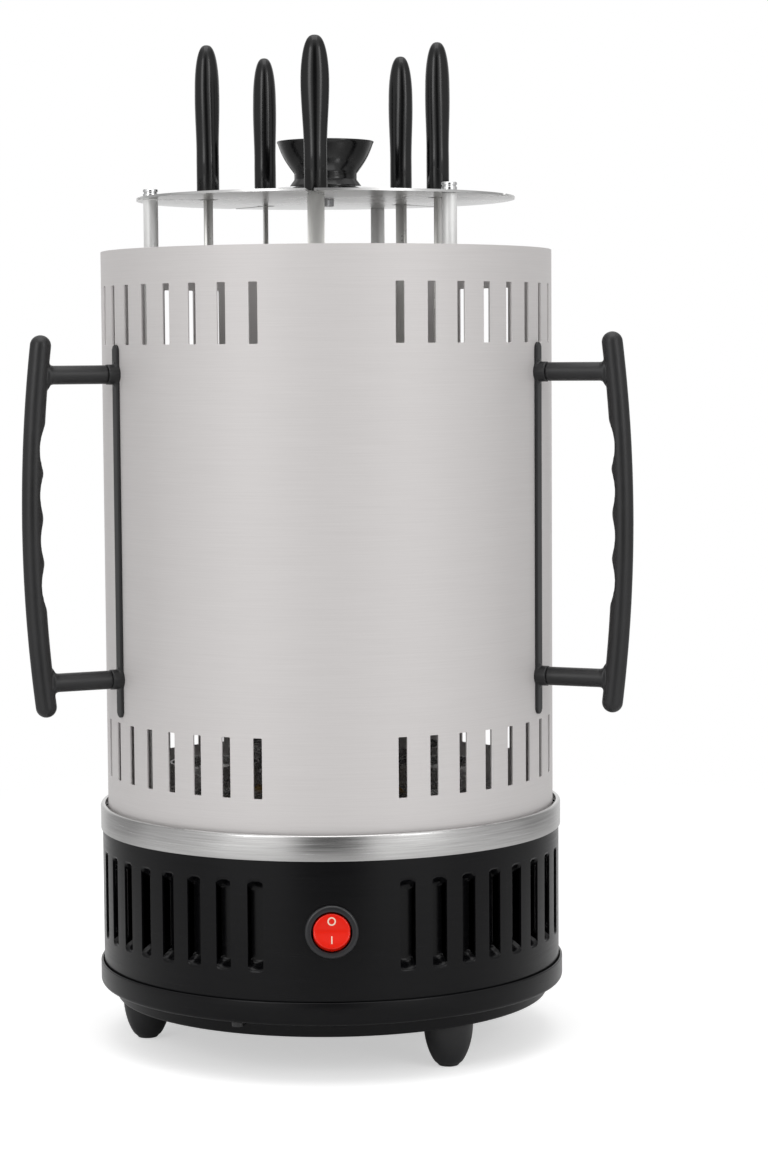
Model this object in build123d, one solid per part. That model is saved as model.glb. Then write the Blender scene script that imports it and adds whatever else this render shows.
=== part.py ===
from build123d import *
import math
import os

# Electric skewer grill. Millimetres, +Z up. The origin is the centre of the footprint, on the surface
# that the feet stand on. The switch is at the front (-Y), and azimuths are degrees from the front
# towards +X.

# Clearances
running_fit = 0.05        # radial, shaft in its bush
thread_fit = 0.05         # radial, screw in its hole
sheet_gap = 0.3           # between nested sheet pieces
slip_gap = 0.4            # between pieces that lift off each other
screw_end_gap = 0.5       # between a screw's end and the bottom of its hole
past = 1.0                # how far a cutter runs past the faces that it opens

# Feet
foot_height = 18.8
foot_radius = 10.3
foot_tip_radius = 3.2
foot_tip_round = 1.6
foot_tip_rise = 1.0
foot_inset = 12.7         # from the pan's step in to the middle of a foot
foot_azimuth = 36.5
foot_screw_radius = 2.0
foot_screw_depth = 10.0

# Bottom pan
pan_overhang = 1.5        # the rim stands proud of the wall
pan_shelf = 6.8           # from the rim in to the step
pan_step_height = 6.0
pan_rim_height = 9.7
pan_sheet = 1.2

# Base wall, with its lanced air vents
wall_overhang = 2.5       # the wall stands proud of the casing
wall_sheet = 1.0
wall_height = 71.0
wall_ledge = 9.0
vent_width = 6.6
vent_height = 38.2
vent_depth = 4.4
vent_ramp = 3.2
vent_centre = 64.8
vent_azimuth = 18.2
vent_pitch = 8.2
vents_per_front_group = 8
vents_per_back_group = 3

# Trim band
band_height = 10.6
band_overlap = 5.4
band_sheet = 0.7
band_edge_radius = 1.05

# Casing, with its rows of slots
casing_radius = 96.0
casing_sheet = 0.8
casing_height = 239.4
slot_width = 3.7
slot_height = 24.6
slot_top_margin = 27.0
slot_bottom_margin = 30.2
slot_azimuth = 17.7
slot_back_azimuth = 15.6
slot_pitch = 8.25
slots_per_group = 8

# Drip tray and gear plate
tray_sheet = 1.0
tray_rise = 2.5
gear_plate_radius = 82.0
gear_plate_sheet = 1.5
gear_space = 20.0         # between the gear plate and the drip tray
standoff_radius = 4.0

# Posts and what they carry
post_radius = 3.1
post_circle = 75.3
post_azimuth = 42.0
post_height = 258.5
spigot_radius = 2.0
post_foot_length = 8.0
post_nut_radius = 3.2
post_nut_height = 3.4
nut_groove_depth = 0.4
nut_groove_width = 0.6
nut_groove_height = 1.5
plate_radius = 80.5
plate_sheet = 1.0
dome_radius = 27.6
dome_height = 4.6
dome_sheet = 0.8
dome_flat_margin = 0.8
dome_bulge = 1.0          # how far the dome's side swells past a straight cone
knob_foot_radius = 15.2
knob_foot_height = 3.2
knob_neck_radius = 13.3
knob_neck_height = 2.5
knob_rim_radius = 20.6
knob_height = 20.4
knob_lip = 0.9
knob_crown = 1.1
knob_foot_edge = 0.6
knob_rim_edge = 0.3
knob_bowl_swell = 0.5
knob_hole_depth = 12.2
knob_screw_depth = 10.2
knob_screw_radius = 2.0

# Gear train
gear_module = 2.0
pressure_angle = 20.0
root_depth = 1.2          # below the pitch circle, in modules
drive_teeth = 35
station_teeth = 16
station_count = 5
station_azimuth = -4.5
gear_lift = 4.0           # of the gears' teeth above the gear plate
gear_width = 6.0
gear_backlash = 0.36
hub_radius = 8.0
hub_rise = 1.0
spindle_radius = 4.0
journal_radius = 2.5
journal_length = 3.0
square_size = 5.4
square_height = 7.0
square_end_gap = 1.5
bush_wall = 2.0
bush_flange = 2.5
bush_flange_height = 1.2
bush_length = 4.0
motor_radius = 25.0
motor_height = 20.0
motor_ear_circle = 30.0
motor_ear_end = 5.0
motor_ear_width = 10.0
motor_ear_sheet = 3.0
motor_shaft_radius = 3.5
motor_boss_radius = 7.5
motor_boss_rise = 1.0

# Drip cups
cup_radius = 19.0
cup_height = 18.0
cup_sheet = 0.8
cup_boss_radius = 6.5
cup_floor = 7.0
cup_corner = 2.5
cup_corner_rise = 2.0
cup_lift_gap = 0.5
slot_play = 0.4
point_depth = 8.0

# Skewers
blade_width = 7.0
blade_sheet = 1.8
blade_point = 11.0
tang_width = 4.0
tang_length = 34.0
plate_hole_radius = 4.2
plate_notch_width = 3.4
handle_length = 63.0
handle_foot_radius = 4.85
handle_wide = 5.9
handle_deep = 5.05
handle_belly = 0.7        # where the handle is widest, as a share of its length
handle_shoulder = 0.92    # where its end starts to close
handle_shoulder_width = 0.78
handle_swell = 0.2
handle_gap = 0.5
handle_turns = (0.0, 72.0, 118.0, -84.0, -108.0)    # degrees, how far round each skewer has turned

# Heater
socket_radius = 15.0
socket_height = 20.0
socket_flange = 2.0
socket_flange_height = 3.0
socket_taper = 2.0
socket_taper_height = 4.0
core_radius = 8.0
core_foot_depth = 12.0
winding_radius = 9.4
winding_margin = 12.0
holder_radius = 11.0
holder_depth = 24.0
holder_bore_depth = 12.0
holder_shoulder = 2.0
guard_radius = 20.0
guard_wire_radius = 1.0
guard_wires = 8
guard_hoops = 3
guard_hoop_width = 4.0
guard_hoop_sheet = 1.0
guard_low_hoop = 15.0
guard_high_hoop = 5.0
guard_head_gap = 4.0

# Side handles
handle_azimuth = 65.0
rail_width = 5.6
rail_sheet = 1.2
rail_root = 2.0           # stock behind the strip, taken off again by the casing's curve
rail_bottom = 143.0
rail_top = 298.3
boss_radius = 4.2
boss_reach = 4.8
arm_bottom = 159.2
arm_top = 286.0
arm_radius = 3.9
grip_radius = 4.4
grip_bottom = 145.0
grip_top = 302.4
grip_reach = 33.1
grip_bow = 4.6
groove_count = 4
groove_pitch = 18.5
groove_land = 1.5
groove_depth = 2.0
groove_centre = 227.5
handle_screw_depth = 14.0

# Rocker switch
switch_centre = 63.2
bezel_radius = 10.9
bezel_proud = 1.8
bezel_edge_radius = 0.9
switch_body_radius = 9.9
switch_body_depth = 19.0
rocker_width = 14.9
rocker_radius = 7.9
rocker_wing = 12.0        # degrees from the rocker's middle position to either side
rocker_depth = 2.0        # pivot behind the bezel's face
rocker_pin_radius = 1.5
rocker_pin_length = 1.8
rocker_pin_play = 0.2

# Cord inlet and terminal block
inlet_centre = 52.0
inlet_bore_radius = 3.6
inlet_body_radius = 6.0
inlet_flange_radius = 9.0
inlet_flange_height = 2.0
inlet_proud = 4.0
inlet_depth = 9.0
terminal_length = 34.0
terminal_width = 16.0
terminal_height = 13.0
terminal_centre = 46.0
terminal_groove = 1.2

# Screws with round heads
screw_radius = 1.5
screw_head_radius = 2.6
screw_head_height = 1.9
screw_depth = 6.0
screw_margin = 0.15

# Heights and radii that follow from the sizes above
wall_radius = casing_radius + wall_overhang
pan_radius = wall_radius + pan_overhang
pan_step_radius = pan_radius - pan_shelf
foot_circle = pan_step_radius - foot_inset
pan_floor = foot_height + pan_sheet
shelf_bottom = foot_height + pan_step_height
shelf_top = shelf_bottom + pan_sheet
rim_top = shelf_bottom + pan_rim_height
wall_top = shelf_top + wall_height
wall_inner = wall_radius - wall_sheet
ledge_radius = wall_inner - wall_ledge
base_screw_circle = wall_inner - screw_radius - screw_margin
band_radius = wall_radius + band_sheet
band_bottom = wall_top - band_overlap
band_top = band_bottom + band_height
casing_inner = casing_radius - casing_sheet
casing_bottom = wall_top + tray_sheet
casing_top = casing_bottom + casing_height
tray_radius = wall_radius - sheet_gap
tray_step_radius = casing_inner - slip_gap
tray_top = casing_bottom + tray_rise
tray_under = tray_top - tray_sheet
gear_plate_top = tray_under - gear_space
gear_plate_bottom = gear_plate_top - gear_plate_sheet
plate_bottom = tray_top + post_height
plate_top = plate_bottom + plate_sheet
dome_top = plate_top + dome_height
knob_top = dome_top + knob_height
station_circle = gear_module * (drive_teeth + station_teeth) / 2
gear_bottom = gear_plate_top + gear_lift
gear_top = gear_bottom + gear_width
bush_radius = spindle_radius + running_fit
spindle_top = tray_top + bush_flange_height + cup_lift_gap
cup_bottom = spindle_top
cup_inside = cup_bottom + cup_floor
blade_bottom = cup_inside + cup_height / 2 - point_depth
handle_bottom = plate_top + handle_gap
socket_top = tray_top + socket_height
core_bottom = socket_top - core_foot_depth
core_top = plate_bottom - holder_depth + holder_bore_depth
bezel_face = wall_radius + bezel_proud

BOTTOM = (Align.CENTER, Align.CENTER, Align.MIN)


def disc(radius, bottom, top):
    return Pos(0, 0, bottom) * Cylinder(radius, top - bottom, align=BOTTOM)


def drill(radius, bottom, top):
    """A round cutter that runs past both faces."""
    return disc(radius, bottom - past, top + past)


def ring(outer, inner, bottom, top):
    return disc(outer, bottom, top) - drill(inner, bottom, top)


def turned(points):
    """A solid of revolution about Z, from (radius, height) points."""
    return revolve(make_face(Plane.XZ * Polyline(*points, close=True)), Axis.Z)


def around(azimuth, radius=0.0, height=0.0):
    """The place at an azimuth, with its own -Y pointing outwards."""
    return Rot(0, 0, azimuth) * Pos(0, -radius, height)


def thirds(first):
    return [first + 120 * k for k in range(3)]


def solids_of(shapes):
    return Compound([solid for shape in shapes for solid in shape.solids()])


def both_sides(middle, first, pitch, count):
    """Azimuths in equal steps on both sides of a middle one."""
    return [middle + side * (first + pitch * k) for side in (-1, 1) for k in range(count)]


def outward_block(width, depth, height):
    """A block with its outer face on the local origin, reaching inwards (+Y)."""
    return Box(width, depth, height, align=(Align.CENTER, Align.MIN, Align.CENTER))


def outward_cylinder(radius, start, end):
    """A cylinder along -Y, from start to end measured outwards from the axis of the grill."""
    return Pos(0, -start, 0) * Rot(90, 0, 0) * Cylinder(radius, end - start, align=BOTTOM)


# --- Feet: moulded bullet shapes, each with a blind hole for the screw that comes down through the pan
def foot():
    tip_side = foot_tip_radius + foot_tip_round
    profile = Line((0, 0), (foot_tip_radius, 0))
    profile += ThreePointArc(
        (foot_tip_radius, 0),
        (foot_tip_radius + foot_tip_round * 0.56, foot_tip_rise / 4),
        (tip_side, foot_tip_rise),
    )
    profile += ThreePointArc(
        (tip_side, foot_tip_rise),
        (foot_radius * 0.87, foot_height * 0.49),
        (foot_radius, foot_height),
    )
    profile += Polyline((foot_radius, foot_height), (0, foot_height), (0, 0))
    body = revolve(make_face(Plane.XZ * profile), Axis.Z)
    return body - disc(foot_screw_radius + thread_fit, foot_height - foot_screw_depth, foot_height + past)


def round_screw(radius, length):
    """A screw along Z: its shank goes down from the origin, its head stands on it."""
    head = disc(screw_head_radius * radius / screw_radius, 0, screw_head_height * radius / screw_radius)
    return disc(radius, -length, 0) + head


# --- Bottom pan: a pressed disc with a stepped floor and an upright rim
def bottom_pan():
    pan = turned([
        (0, foot_height), (pan_step_radius, foot_height), (pan_step_radius, shelf_bottom),
        (pan_radius, shelf_bottom), (pan_radius, rim_top), (pan_radius - pan_sheet, rim_top),
        (pan_radius - pan_sheet, shelf_top), (pan_step_radius - pan_sheet, shelf_top),
        (pan_step_radius - pan_sheet, pan_floor), (0, pan_floor),
    ])
    for azimuth in thirds(foot_azimuth):
        hole = drill(foot_screw_radius + thread_fit, foot_height, pan_floor)
        pan -= around(azimuth, foot_circle) * hole
        hole = drill(screw_radius + thread_fit, shelf_bottom, shelf_top)
        pan -= around(azimuth + 60, base_screw_circle) * hole
    return pan


# --- Base wall: a rolled tube with a foot flange, a top ledge and strips pressed inwards
def vent_strip():
    """One strip between two cuts, pressed inwards, its ends ramping back into the wall."""
    outer = [
        (0, -vent_height / 2), (vent_depth, -vent_height / 2 + vent_ramp),
        (vent_depth, vent_height / 2 - vent_ramp), (0, vent_height / 2),
    ]
    inner = [(depth + wall_sheet, height) for depth, height in reversed(outer)]
    profile = make_face(Plane.YZ * Polyline(*outer, *inner, close=True))
    return Pos(-vent_width / 2, 0, 0) * extrude(profile, vent_width, dir=(1, 0, 0))


def base_wall():
    wall = turned([
        (pan_step_radius - pan_sheet, shelf_top), (wall_radius, shelf_top), (wall_radius, wall_top),
        (ledge_radius, wall_top), (ledge_radius, wall_top - wall_sheet),
        (wall_inner, wall_top - wall_sheet), (wall_inner, shelf_top + wall_sheet),
        (pan_step_radius - pan_sheet, shelf_top + wall_sheet),
    ])
    window = outward_block(vent_width, 2 * wall_sheet, vent_height)
    azimuths = both_sides(0, vent_azimuth, vent_pitch, vents_per_front_group)
    azimuths += both_sides(180, vent_azimuth, vent_pitch, vents_per_back_group)
    wall -= [around(a, wall_radius + wall_sheet / 2, vent_centre) * window for a in azimuths]
    wall += [around(a, wall_radius, vent_centre) * vent_strip() for a in azimuths]
    wall -= Pos(0, 0, switch_centre) * outward_cylinder(
        switch_body_radius + sheet_gap, wall_inner - past, wall_radius + past)
    wall -= Rot(0, 0, 180) * Pos(0, 0, inlet_centre) * outward_cylinder(
        inlet_body_radius + sheet_gap, wall_inner - past, wall_radius + past)
    for azimuth in thirds(foot_azimuth + 60):
        hole = drill(screw_radius + thread_fit, shelf_top, shelf_top + wall_sheet)
        wall -= around(azimuth, base_screw_circle) * hole
    return wall


def base_screws():
    screw = Pos(0, 0, shelf_bottom) * Rot(180, 0, 0) * round_screw(screw_radius, screw_depth)
    return solids_of([around(a, base_screw_circle) * screw for a in thirds(foot_azimuth + 60)])


def foot_screws():
    length = pan_sheet + foot_screw_depth - screw_end_gap
    screw = Pos(0, 0, pan_floor) * round_screw(foot_screw_radius, length)
    return solids_of([around(a, foot_circle) * screw for a in thirds(foot_azimuth)])


# --- Trim band: a ring pressed on the wall, its top edge rolled inwards
def trim_band():
    lip = casing_radius + slip_gap
    band = turned([
        (wall_radius, band_bottom), (band_radius, band_bottom), (band_radius, band_top),
        (lip, band_top), (lip, band_top - band_sheet), (wall_radius, band_top - band_sheet),
    ])
    top_edge = band.edges().filter_by(GeomType.CIRCLE).sort_by(Axis.Z)[-2:].sort_by(SortBy.RADIUS)[-1]
    return fillet(top_edge, band_edge_radius)


# --- Drip tray: the floor of the cooking space, with a raised middle that centres the casing
def drip_tray():
    tray = turned([
        (0, tray_under), (tray_step_radius - tray_sheet, tray_under),
        (tray_step_radius - tray_sheet, wall_top), (tray_radius, wall_top),
        (tray_radius, casing_bottom), (tray_step_radius, casing_bottom),
        (tray_step_radius, tray_top), (0, tray_top),
    ])
    for azimuth in station_azimuths():
        tray -= around(azimuth, station_circle) * drill(bush_radius + bush_wall, tray_under, tray_top)
    for azimuth in thirds(post_azimuth):
        tray -= around(azimuth, post_circle) * drill(spigot_radius + thread_fit, tray_under, tray_top)
    return tray


def station_azimuths():
    return [station_azimuth + 360 / station_count * k for k in range(station_count)]


# --- Gear plate, hung under the tray on standoffs
def gear_plate():
    plate = disc(gear_plate_radius, gear_plate_bottom, gear_plate_top)
    plate -= drill(motor_boss_radius + sheet_gap, gear_plate_bottom, gear_plate_top)
    for azimuth in station_azimuths():
        hole = drill(journal_radius + running_fit, gear_plate_bottom, gear_plate_top)
        plate -= around(azimuth, station_circle) * hole
    hole = drill(screw_radius + thread_fit, gear_plate_bottom, gear_plate_top)
    plate -= [around(a, post_circle) * hole for a in thirds(post_azimuth)]
    plate -= [around(a, motor_ear_circle) * hole for a in (90, 270)]
    return plate


def standoffs():
    column = disc(standoff_radius, gear_plate_top, tray_under)
    column -= disc(spigot_radius + thread_fit, tray_under - post_foot_length, tray_under + past)
    column -= disc(screw_radius + thread_fit, gear_plate_top - past, gear_plate_top + screw_depth)
    return solids_of([around(a, post_circle) * column for a in thirds(post_azimuth)])


def gear_plate_screws():
    screw = Pos(0, 0, gear_plate_bottom) * Rot(180, 0, 0) * round_screw(screw_radius, screw_depth)
    ear_screw = Pos(0, 0, gear_plate_top) * round_screw(screw_radius, screw_depth)
    placed = [around(a, post_circle) * screw for a in thirds(post_azimuth)]
    placed += [around(a, motor_ear_circle) * ear_screw for a in (90, 270)]
    return solids_of(placed)


# --- Posts: turned rods with a threaded end below and above, and a ringed nut on each
def post(azimuth):
    rod = disc(post_radius, tray_top, plate_bottom)
    rod += disc(spigot_radius, tray_under - post_foot_length + screw_end_gap, tray_top)
    rod += disc(spigot_radius, plate_bottom, plate_top + post_nut_height)
    return around(azimuth, post_circle) * rod


def post_nuts():
    nut = ring(post_nut_radius, spigot_radius + thread_fit, plate_top, plate_top + post_nut_height)
    groove_bottom = plate_top + nut_groove_height
    groove_floor = post_nut_radius - nut_groove_depth
    groove = ring(post_nut_radius + past, groove_floor, groove_bottom, groove_bottom + nut_groove_width)
    return solids_of([around(a, post_circle) * (nut - groove) for a in thirds(post_azimuth)])


# --- Top plate: a flat disc with a round hole for each blade, and a notch in from the edge
def top_plate():
    plate = disc(plate_radius, plate_bottom, plate_top)
    thickness = plate_sheet + 2 * past
    notch = Box(plate_notch_width, plate_radius - station_circle + past, thickness,
                align=(Align.CENTER, Align.MAX, Align.MIN))
    for azimuth in station_azimuths():
        hole = disc(plate_hole_radius, 0, thickness) + notch
        plate -= around(azimuth, station_circle, plate_bottom - past) * hole
    hole = drill(spigot_radius + thread_fit, plate_bottom, plate_top)
    plate -= [around(a, post_circle) * hole for a in thirds(post_azimuth)]
    return plate - drill(knob_screw_radius + thread_fit, plate_bottom, plate_top)


# --- Dome: a spun cover on the plate, flat where the knob stands
def dome_profile(offset):
    """The dome's outside, or its inside at an offset."""
    flat = knob_foot_radius + dome_flat_margin
    return ThreePointArc(
        (dome_radius - offset, plate_top),
        ((dome_radius + flat - offset) / 2 + dome_bulge, plate_top + dome_height * 0.6 - offset * 0.8),
        (flat, dome_top - offset),
    )


def top_dome():
    outside = dome_profile(0)
    outline = outside + Polyline(outside @ 1, (0, dome_top), (0, plate_top), outside @ 0)
    inside = dome_profile(dome_sheet)
    hollow = inside + Polyline(inside @ 1, (0, dome_top - dome_sheet), (0, plate_top), inside @ 0)
    dome = revolve(make_face(Plane.XZ * outline), Axis.Z) - revolve(make_face(Plane.XZ * hollow), Axis.Z)
    return dome - disc(knob_screw_radius + thread_fit, plate_top, dome_top + past)


# --- Knob: a turned mushroom with a flared foot, a neck, a bowl and a crowned top
def top_knob():
    rim = knob_top - knob_crown
    lip_radius = knob_rim_radius - knob_rim_edge
    neck = dome_top + knob_foot_height
    bowl = neck + knob_neck_height
    sphere = (knob_rim_radius ** 2 + knob_crown ** 2) / (2 * knob_crown)
    halfway = math.sqrt(sphere ** 2 - knob_rim_radius ** 2 / 4) - sphere + knob_top
    profile = Polyline(
        (0, dome_top), (knob_foot_radius, dome_top), (knob_foot_radius, dome_top + knob_foot_edge),
        (knob_neck_radius, neck), (knob_neck_radius, bowl))
    profile += ThreePointArc(
        (knob_neck_radius, bowl),
        ((knob_neck_radius + knob_rim_radius) / 2 + knob_bowl_swell, (bowl + rim - knob_lip) / 2),
        (lip_radius, rim - knob_lip),
    )
    profile += Polyline(
        (lip_radius, rim - knob_lip), (knob_rim_radius, rim - knob_rim_edge), (knob_rim_radius, rim))
    profile += ThreePointArc((knob_rim_radius, rim), (knob_rim_radius / 2, halfway), (0, knob_top))
    profile += Line((0, knob_top), (0, dome_top))
    knob = revolve(make_face(Plane.XZ * profile), Axis.Z)
    return knob - disc(knob_screw_radius + thread_fit, dome_top - past, dome_top + knob_hole_depth)


def knob_screw():
    length = plate_sheet + dome_height + knob_screw_depth
    return Pos(0, 0, plate_bottom) * Rot(180, 0, 0) * round_screw(knob_screw_radius, length)


# --- Gears: involute teeth, with the tip, root and flank radii worked out from the module
def gear(teeth, phase):
    """A spur gear about Z with a tooth centred on the angle phase, in degrees from +X."""
    pitch_radius = gear_module * teeth / 2
    tip = pitch_radius + gear_module
    root = pitch_radius - root_depth * gear_module
    base = pitch_radius * math.cos(math.radians(pressure_angle))
    half_tooth = math.degrees((math.pi * gear_module / 2 - gear_backlash) / (2 * pitch_radius))

    def involute(radius):
        roll = math.acos(min(1.0, base / radius))
        return math.degrees(math.tan(roll) - roll)

    def at(radius, angle):
        turn = math.radians(angle)
        return (radius * math.cos(turn), radius * math.sin(turn))

    outline = []
    flank = [root, pitch_radius, tip]
    corners = [(radius, -1) for radius in flank] + [(radius, 1) for radius in reversed(flank)]
    for tooth in range(teeth):
        centre = phase + 360 / teeth * tooth
        for radius, side in corners:
            half = half_tooth + involute(pitch_radius) - involute(max(radius, base))
            outline.append(at(radius, centre + side * half))
    return Pos(0, 0, gear_bottom) * extrude(make_face(Polyline(*outline, close=True)), gear_width)


def meshing_phase(azimuth):
    """The station gear's tooth angle, so that it meshes with a drive gear that has a tooth at 0."""
    line = azimuth - 90
    ratio = drive_teeth / station_teeth
    return line + 180 + ratio * line - 180 / station_teeth


def drive_gear():
    body = gear(drive_teeth, 0) + disc(hub_radius, gear_bottom - hub_rise, gear_top + hub_rise)
    return body - disc(motor_shaft_radius + thread_fit, gear_plate_top, gear_top + hub_rise + past)


def motor_shaft():
    return disc(motor_shaft_radius, gear_plate_bottom - motor_height / 2, gear_top + hub_rise)


def gear_motor():
    body = disc(motor_radius, gear_plate_bottom - motor_height, gear_plate_bottom)
    body += disc(motor_boss_radius, gear_plate_bottom, gear_plate_top + motor_boss_rise)
    ear = Box(2 * (motor_ear_circle + motor_ear_end), motor_ear_width, motor_ear_sheet,
              align=(Align.CENTER, Align.CENTER, Align.MAX))
    body += Pos(0, 0, gear_plate_bottom) * ear
    hole = drill(screw_radius + thread_fit, gear_plate_bottom - motor_ear_sheet, gear_plate_bottom)
    body -= [around(a, motor_ear_circle) * hole for a in (90, 270)]
    shaft_bottom = gear_plate_bottom - motor_height / 2
    bore_top = gear_plate_top + motor_boss_rise + past
    return body - disc(motor_shaft_radius + running_fit, shaft_bottom, bore_top)


def station_gear(azimuth):
    """A moulded gear on its spindle: a journal below, a square head above for the drip cup."""
    body = gear(station_teeth, meshing_phase(azimuth))
    body += disc(hub_radius, gear_plate_top, gear_top + hub_rise)
    body += disc(spindle_radius, gear_top + hub_rise, spindle_top)
    body += disc(journal_radius, gear_plate_bottom - journal_length + gear_plate_sheet, gear_plate_top)
    head = Box(square_size, square_size, square_height - square_end_gap, align=BOTTOM)
    square = Pos(0, 0, spindle_top) * head
    place = Pos(*(around(azimuth, station_circle).position))
    return place * (body + square)


def spindle_bushes():
    outer = bush_radius + bush_wall
    flange_top = tray_top + bush_flange_height
    bush = disc(outer, tray_top - bush_length, flange_top)
    bush += disc(outer + bush_flange, tray_top, flange_top)
    bush -= drill(bush_radius, tray_top - bush_length, flange_top)
    return solids_of([around(a, station_circle) * bush for a in station_azimuths()])


# --- Drip cups: spun bowls with a boss, square underneath and slotted on top for the skewer's point
def drip_cup(index):
    azimuth = station_azimuths()[index]
    rim = cup_bottom + cup_height
    boss_top = cup_inside + cup_height / 2
    cup = turned([
        (0, cup_bottom), (cup_boss_radius, cup_bottom), (cup_boss_radius, cup_inside - cup_sheet),
        (cup_radius - cup_corner, cup_inside - cup_sheet), (cup_radius, cup_inside + cup_corner_rise),
        (cup_radius, rim), (cup_radius - cup_sheet, rim),
        (cup_radius - cup_sheet, cup_inside + cup_corner_rise + cup_sheet / 2),
        (cup_radius - cup_corner - cup_sheet / 2, cup_inside), (cup_boss_radius, cup_inside),
        (cup_boss_radius, boss_top), (0, boss_top),
    ])
    socket = square_size + 2 * slip_gap
    cup -= Pos(0, 0, cup_bottom) * Box(socket, socket, 2 * (square_height - past))
    slot = Box(blade_width + 2 * slot_play, blade_sheet + 2 * slot_play, cup_height, align=BOTTOM)
    cup -= Pos(0, 0, blade_bottom) * Rot(0, 0, handle_turns[index]) * slot
    return Pos(*(around(azimuth, station_circle).position)) * cup


# --- Skewers: a flat blade with a point below and a narrow tang in the handle
def skewer_place(index):
    place = around(station_azimuths()[index], station_circle).position
    return Pos(*place) * Rot(0, 0, handle_turns[index])


def skewer_blade(index):
    half = blade_width / 2
    tang = tang_width / 2
    outline = Polyline(
        (0, blade_bottom), (half, blade_bottom + blade_point), (half, handle_bottom),
        (tang, handle_bottom), (tang, handle_bottom + tang_length), (-tang, handle_bottom + tang_length),
        (-tang, handle_bottom), (-half, handle_bottom), (-half, blade_bottom + blade_point), close=True,
    )
    blade = extrude(make_face(Plane.XZ * outline), blade_sheet / 2, both=True)
    return skewer_place(index) * blade


def skewer_handle(index):
    """A turned handle with a narrow foot and a rounded end, pressed to an oval."""
    widest = handle_bottom + handle_length * handle_belly
    shoulder = handle_bottom + handle_length * handle_shoulder
    end = handle_bottom + handle_length
    shoulder_width = handle_wide * handle_shoulder_width
    profile = Line((0, handle_bottom), (handle_foot_radius, handle_bottom))
    profile += ThreePointArc(
        (handle_foot_radius, handle_bottom),
        ((handle_foot_radius + handle_wide) / 2 + handle_swell, (handle_bottom + widest) / 2),
        (handle_wide, widest),
    )
    profile += ThreePointArc(
        (handle_wide, widest), (handle_wide * 0.95, (widest + shoulder) / 2), (shoulder_width, shoulder))
    profile += ThreePointArc(
        (shoulder_width, shoulder), (shoulder_width * 0.6, end - (end - shoulder) * 0.22), (0, end))
    profile += Line((0, end), (0, handle_bottom))
    handle = scale(revolve(make_face(Plane.XZ * profile), Axis.Z), by=(1, handle_deep / handle_wide, 1))
    slot_size = (tang_width + 2 * thread_fit, blade_sheet + 2 * thread_fit, tang_length + screw_end_gap)
    tang_slot = Box(*slot_size, align=BOTTOM)
    return skewer_place(index) * (handle - Pos(0, 0, handle_bottom) * tang_slot)


# --- Heater: a ceramic socket, a core with its winding, an upper holder and a wire guard
def heater_socket():
    socket = turned([
        (0, tray_top), (socket_radius + socket_flange, tray_top),
        (socket_radius + socket_flange, tray_top + socket_flange_height),
        (socket_radius, tray_top + socket_flange_height), (socket_radius, socket_top - socket_taper_height),
        (socket_radius - socket_taper, socket_top), (0, socket_top),
    ])
    return socket - disc(core_radius + thread_fit, core_bottom, socket_top + past)


def heater_winding():
    winding_top = plate_bottom - holder_depth - winding_margin
    return ring(winding_radius, core_radius + thread_fit, socket_top, winding_top)


def heater_holder():
    holder_bottom = plate_bottom - holder_depth
    holder = disc(holder_radius, holder_bottom, plate_bottom)
    holder -= disc(core_radius + thread_fit, holder_bottom - past, core_top)
    return holder - drill(core_radius - holder_shoulder, core_top, plate_bottom)


def heater_guard():
    """Upright wires joined by flat hoops, standing on the tray round the heater."""
    head = plate_bottom - guard_head_gap
    wire = disc(guard_wire_radius, tray_top, head)
    guard = Part() + [around(360 / guard_wires * k, guard_radius) * wire for k in range(guard_wires)]
    lowest = tray_top + guard_low_hoop
    highest = head - guard_high_hoop - guard_hoop_width
    for hoop in range(guard_hoops):
        bottom = lowest + (highest - lowest) * hoop / (guard_hoops - 1)
        guard += ring(guard_radius + guard_hoop_sheet / 2, guard_radius - guard_hoop_sheet / 2,
                      bottom, bottom + guard_hoop_width)
    return guard


# --- Casing: a rolled tube with two rows of slots
def casing():
    tube = ring(casing_radius, casing_inner, casing_bottom, casing_top)
    slot = outward_block(slot_width, 3 * casing_sheet, slot_height)
    azimuths = both_sides(0, slot_azimuth, slot_pitch, slots_per_group)
    azimuths += both_sides(180, slot_back_azimuth, slot_pitch, slots_per_group)
    for height in (casing_bottom + slot_bottom_margin, casing_top - slot_top_margin):
        tube -= [around(a, casing_radius + casing_sheet, height) * slot for a in azimuths]
    hole = outward_cylinder(screw_radius + thread_fit, casing_inner - past, casing_radius + past)
    for side in (-1, 1):
        for height in (arm_bottom, arm_top):
            tube -= around(side * handle_azimuth, 0, height) * hole
    return tube


# --- Side handles: a strip on the casing with two bosses, and a bowed grip on two arms
def handle_rail(side):
    middle = (rail_bottom + rail_top) / 2
    outline = SlotOverall(rail_top - rail_bottom, rail_width, rotation=90)
    strip = extrude(Plane.XZ * outline, rail_sheet + rail_root)
    rail = Pos(0, -casing_radius + rail_root, middle) * strip
    hole_end = casing_radius + boss_reach + past
    for height in (arm_bottom, arm_top):
        boss = outward_cylinder(boss_radius, casing_radius - rail_root, casing_radius + boss_reach)
        rail += Pos(0, 0, height) * boss
    for height in (arm_bottom, arm_top):
        rail -= Pos(0, 0, height) * outward_cylinder(
            screw_radius + thread_fit, casing_radius - rail_root - past, hole_end)
    rail = around(side * handle_azimuth) * rail
    return rail - drill(casing_radius, rail_bottom, rail_top)


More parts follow.
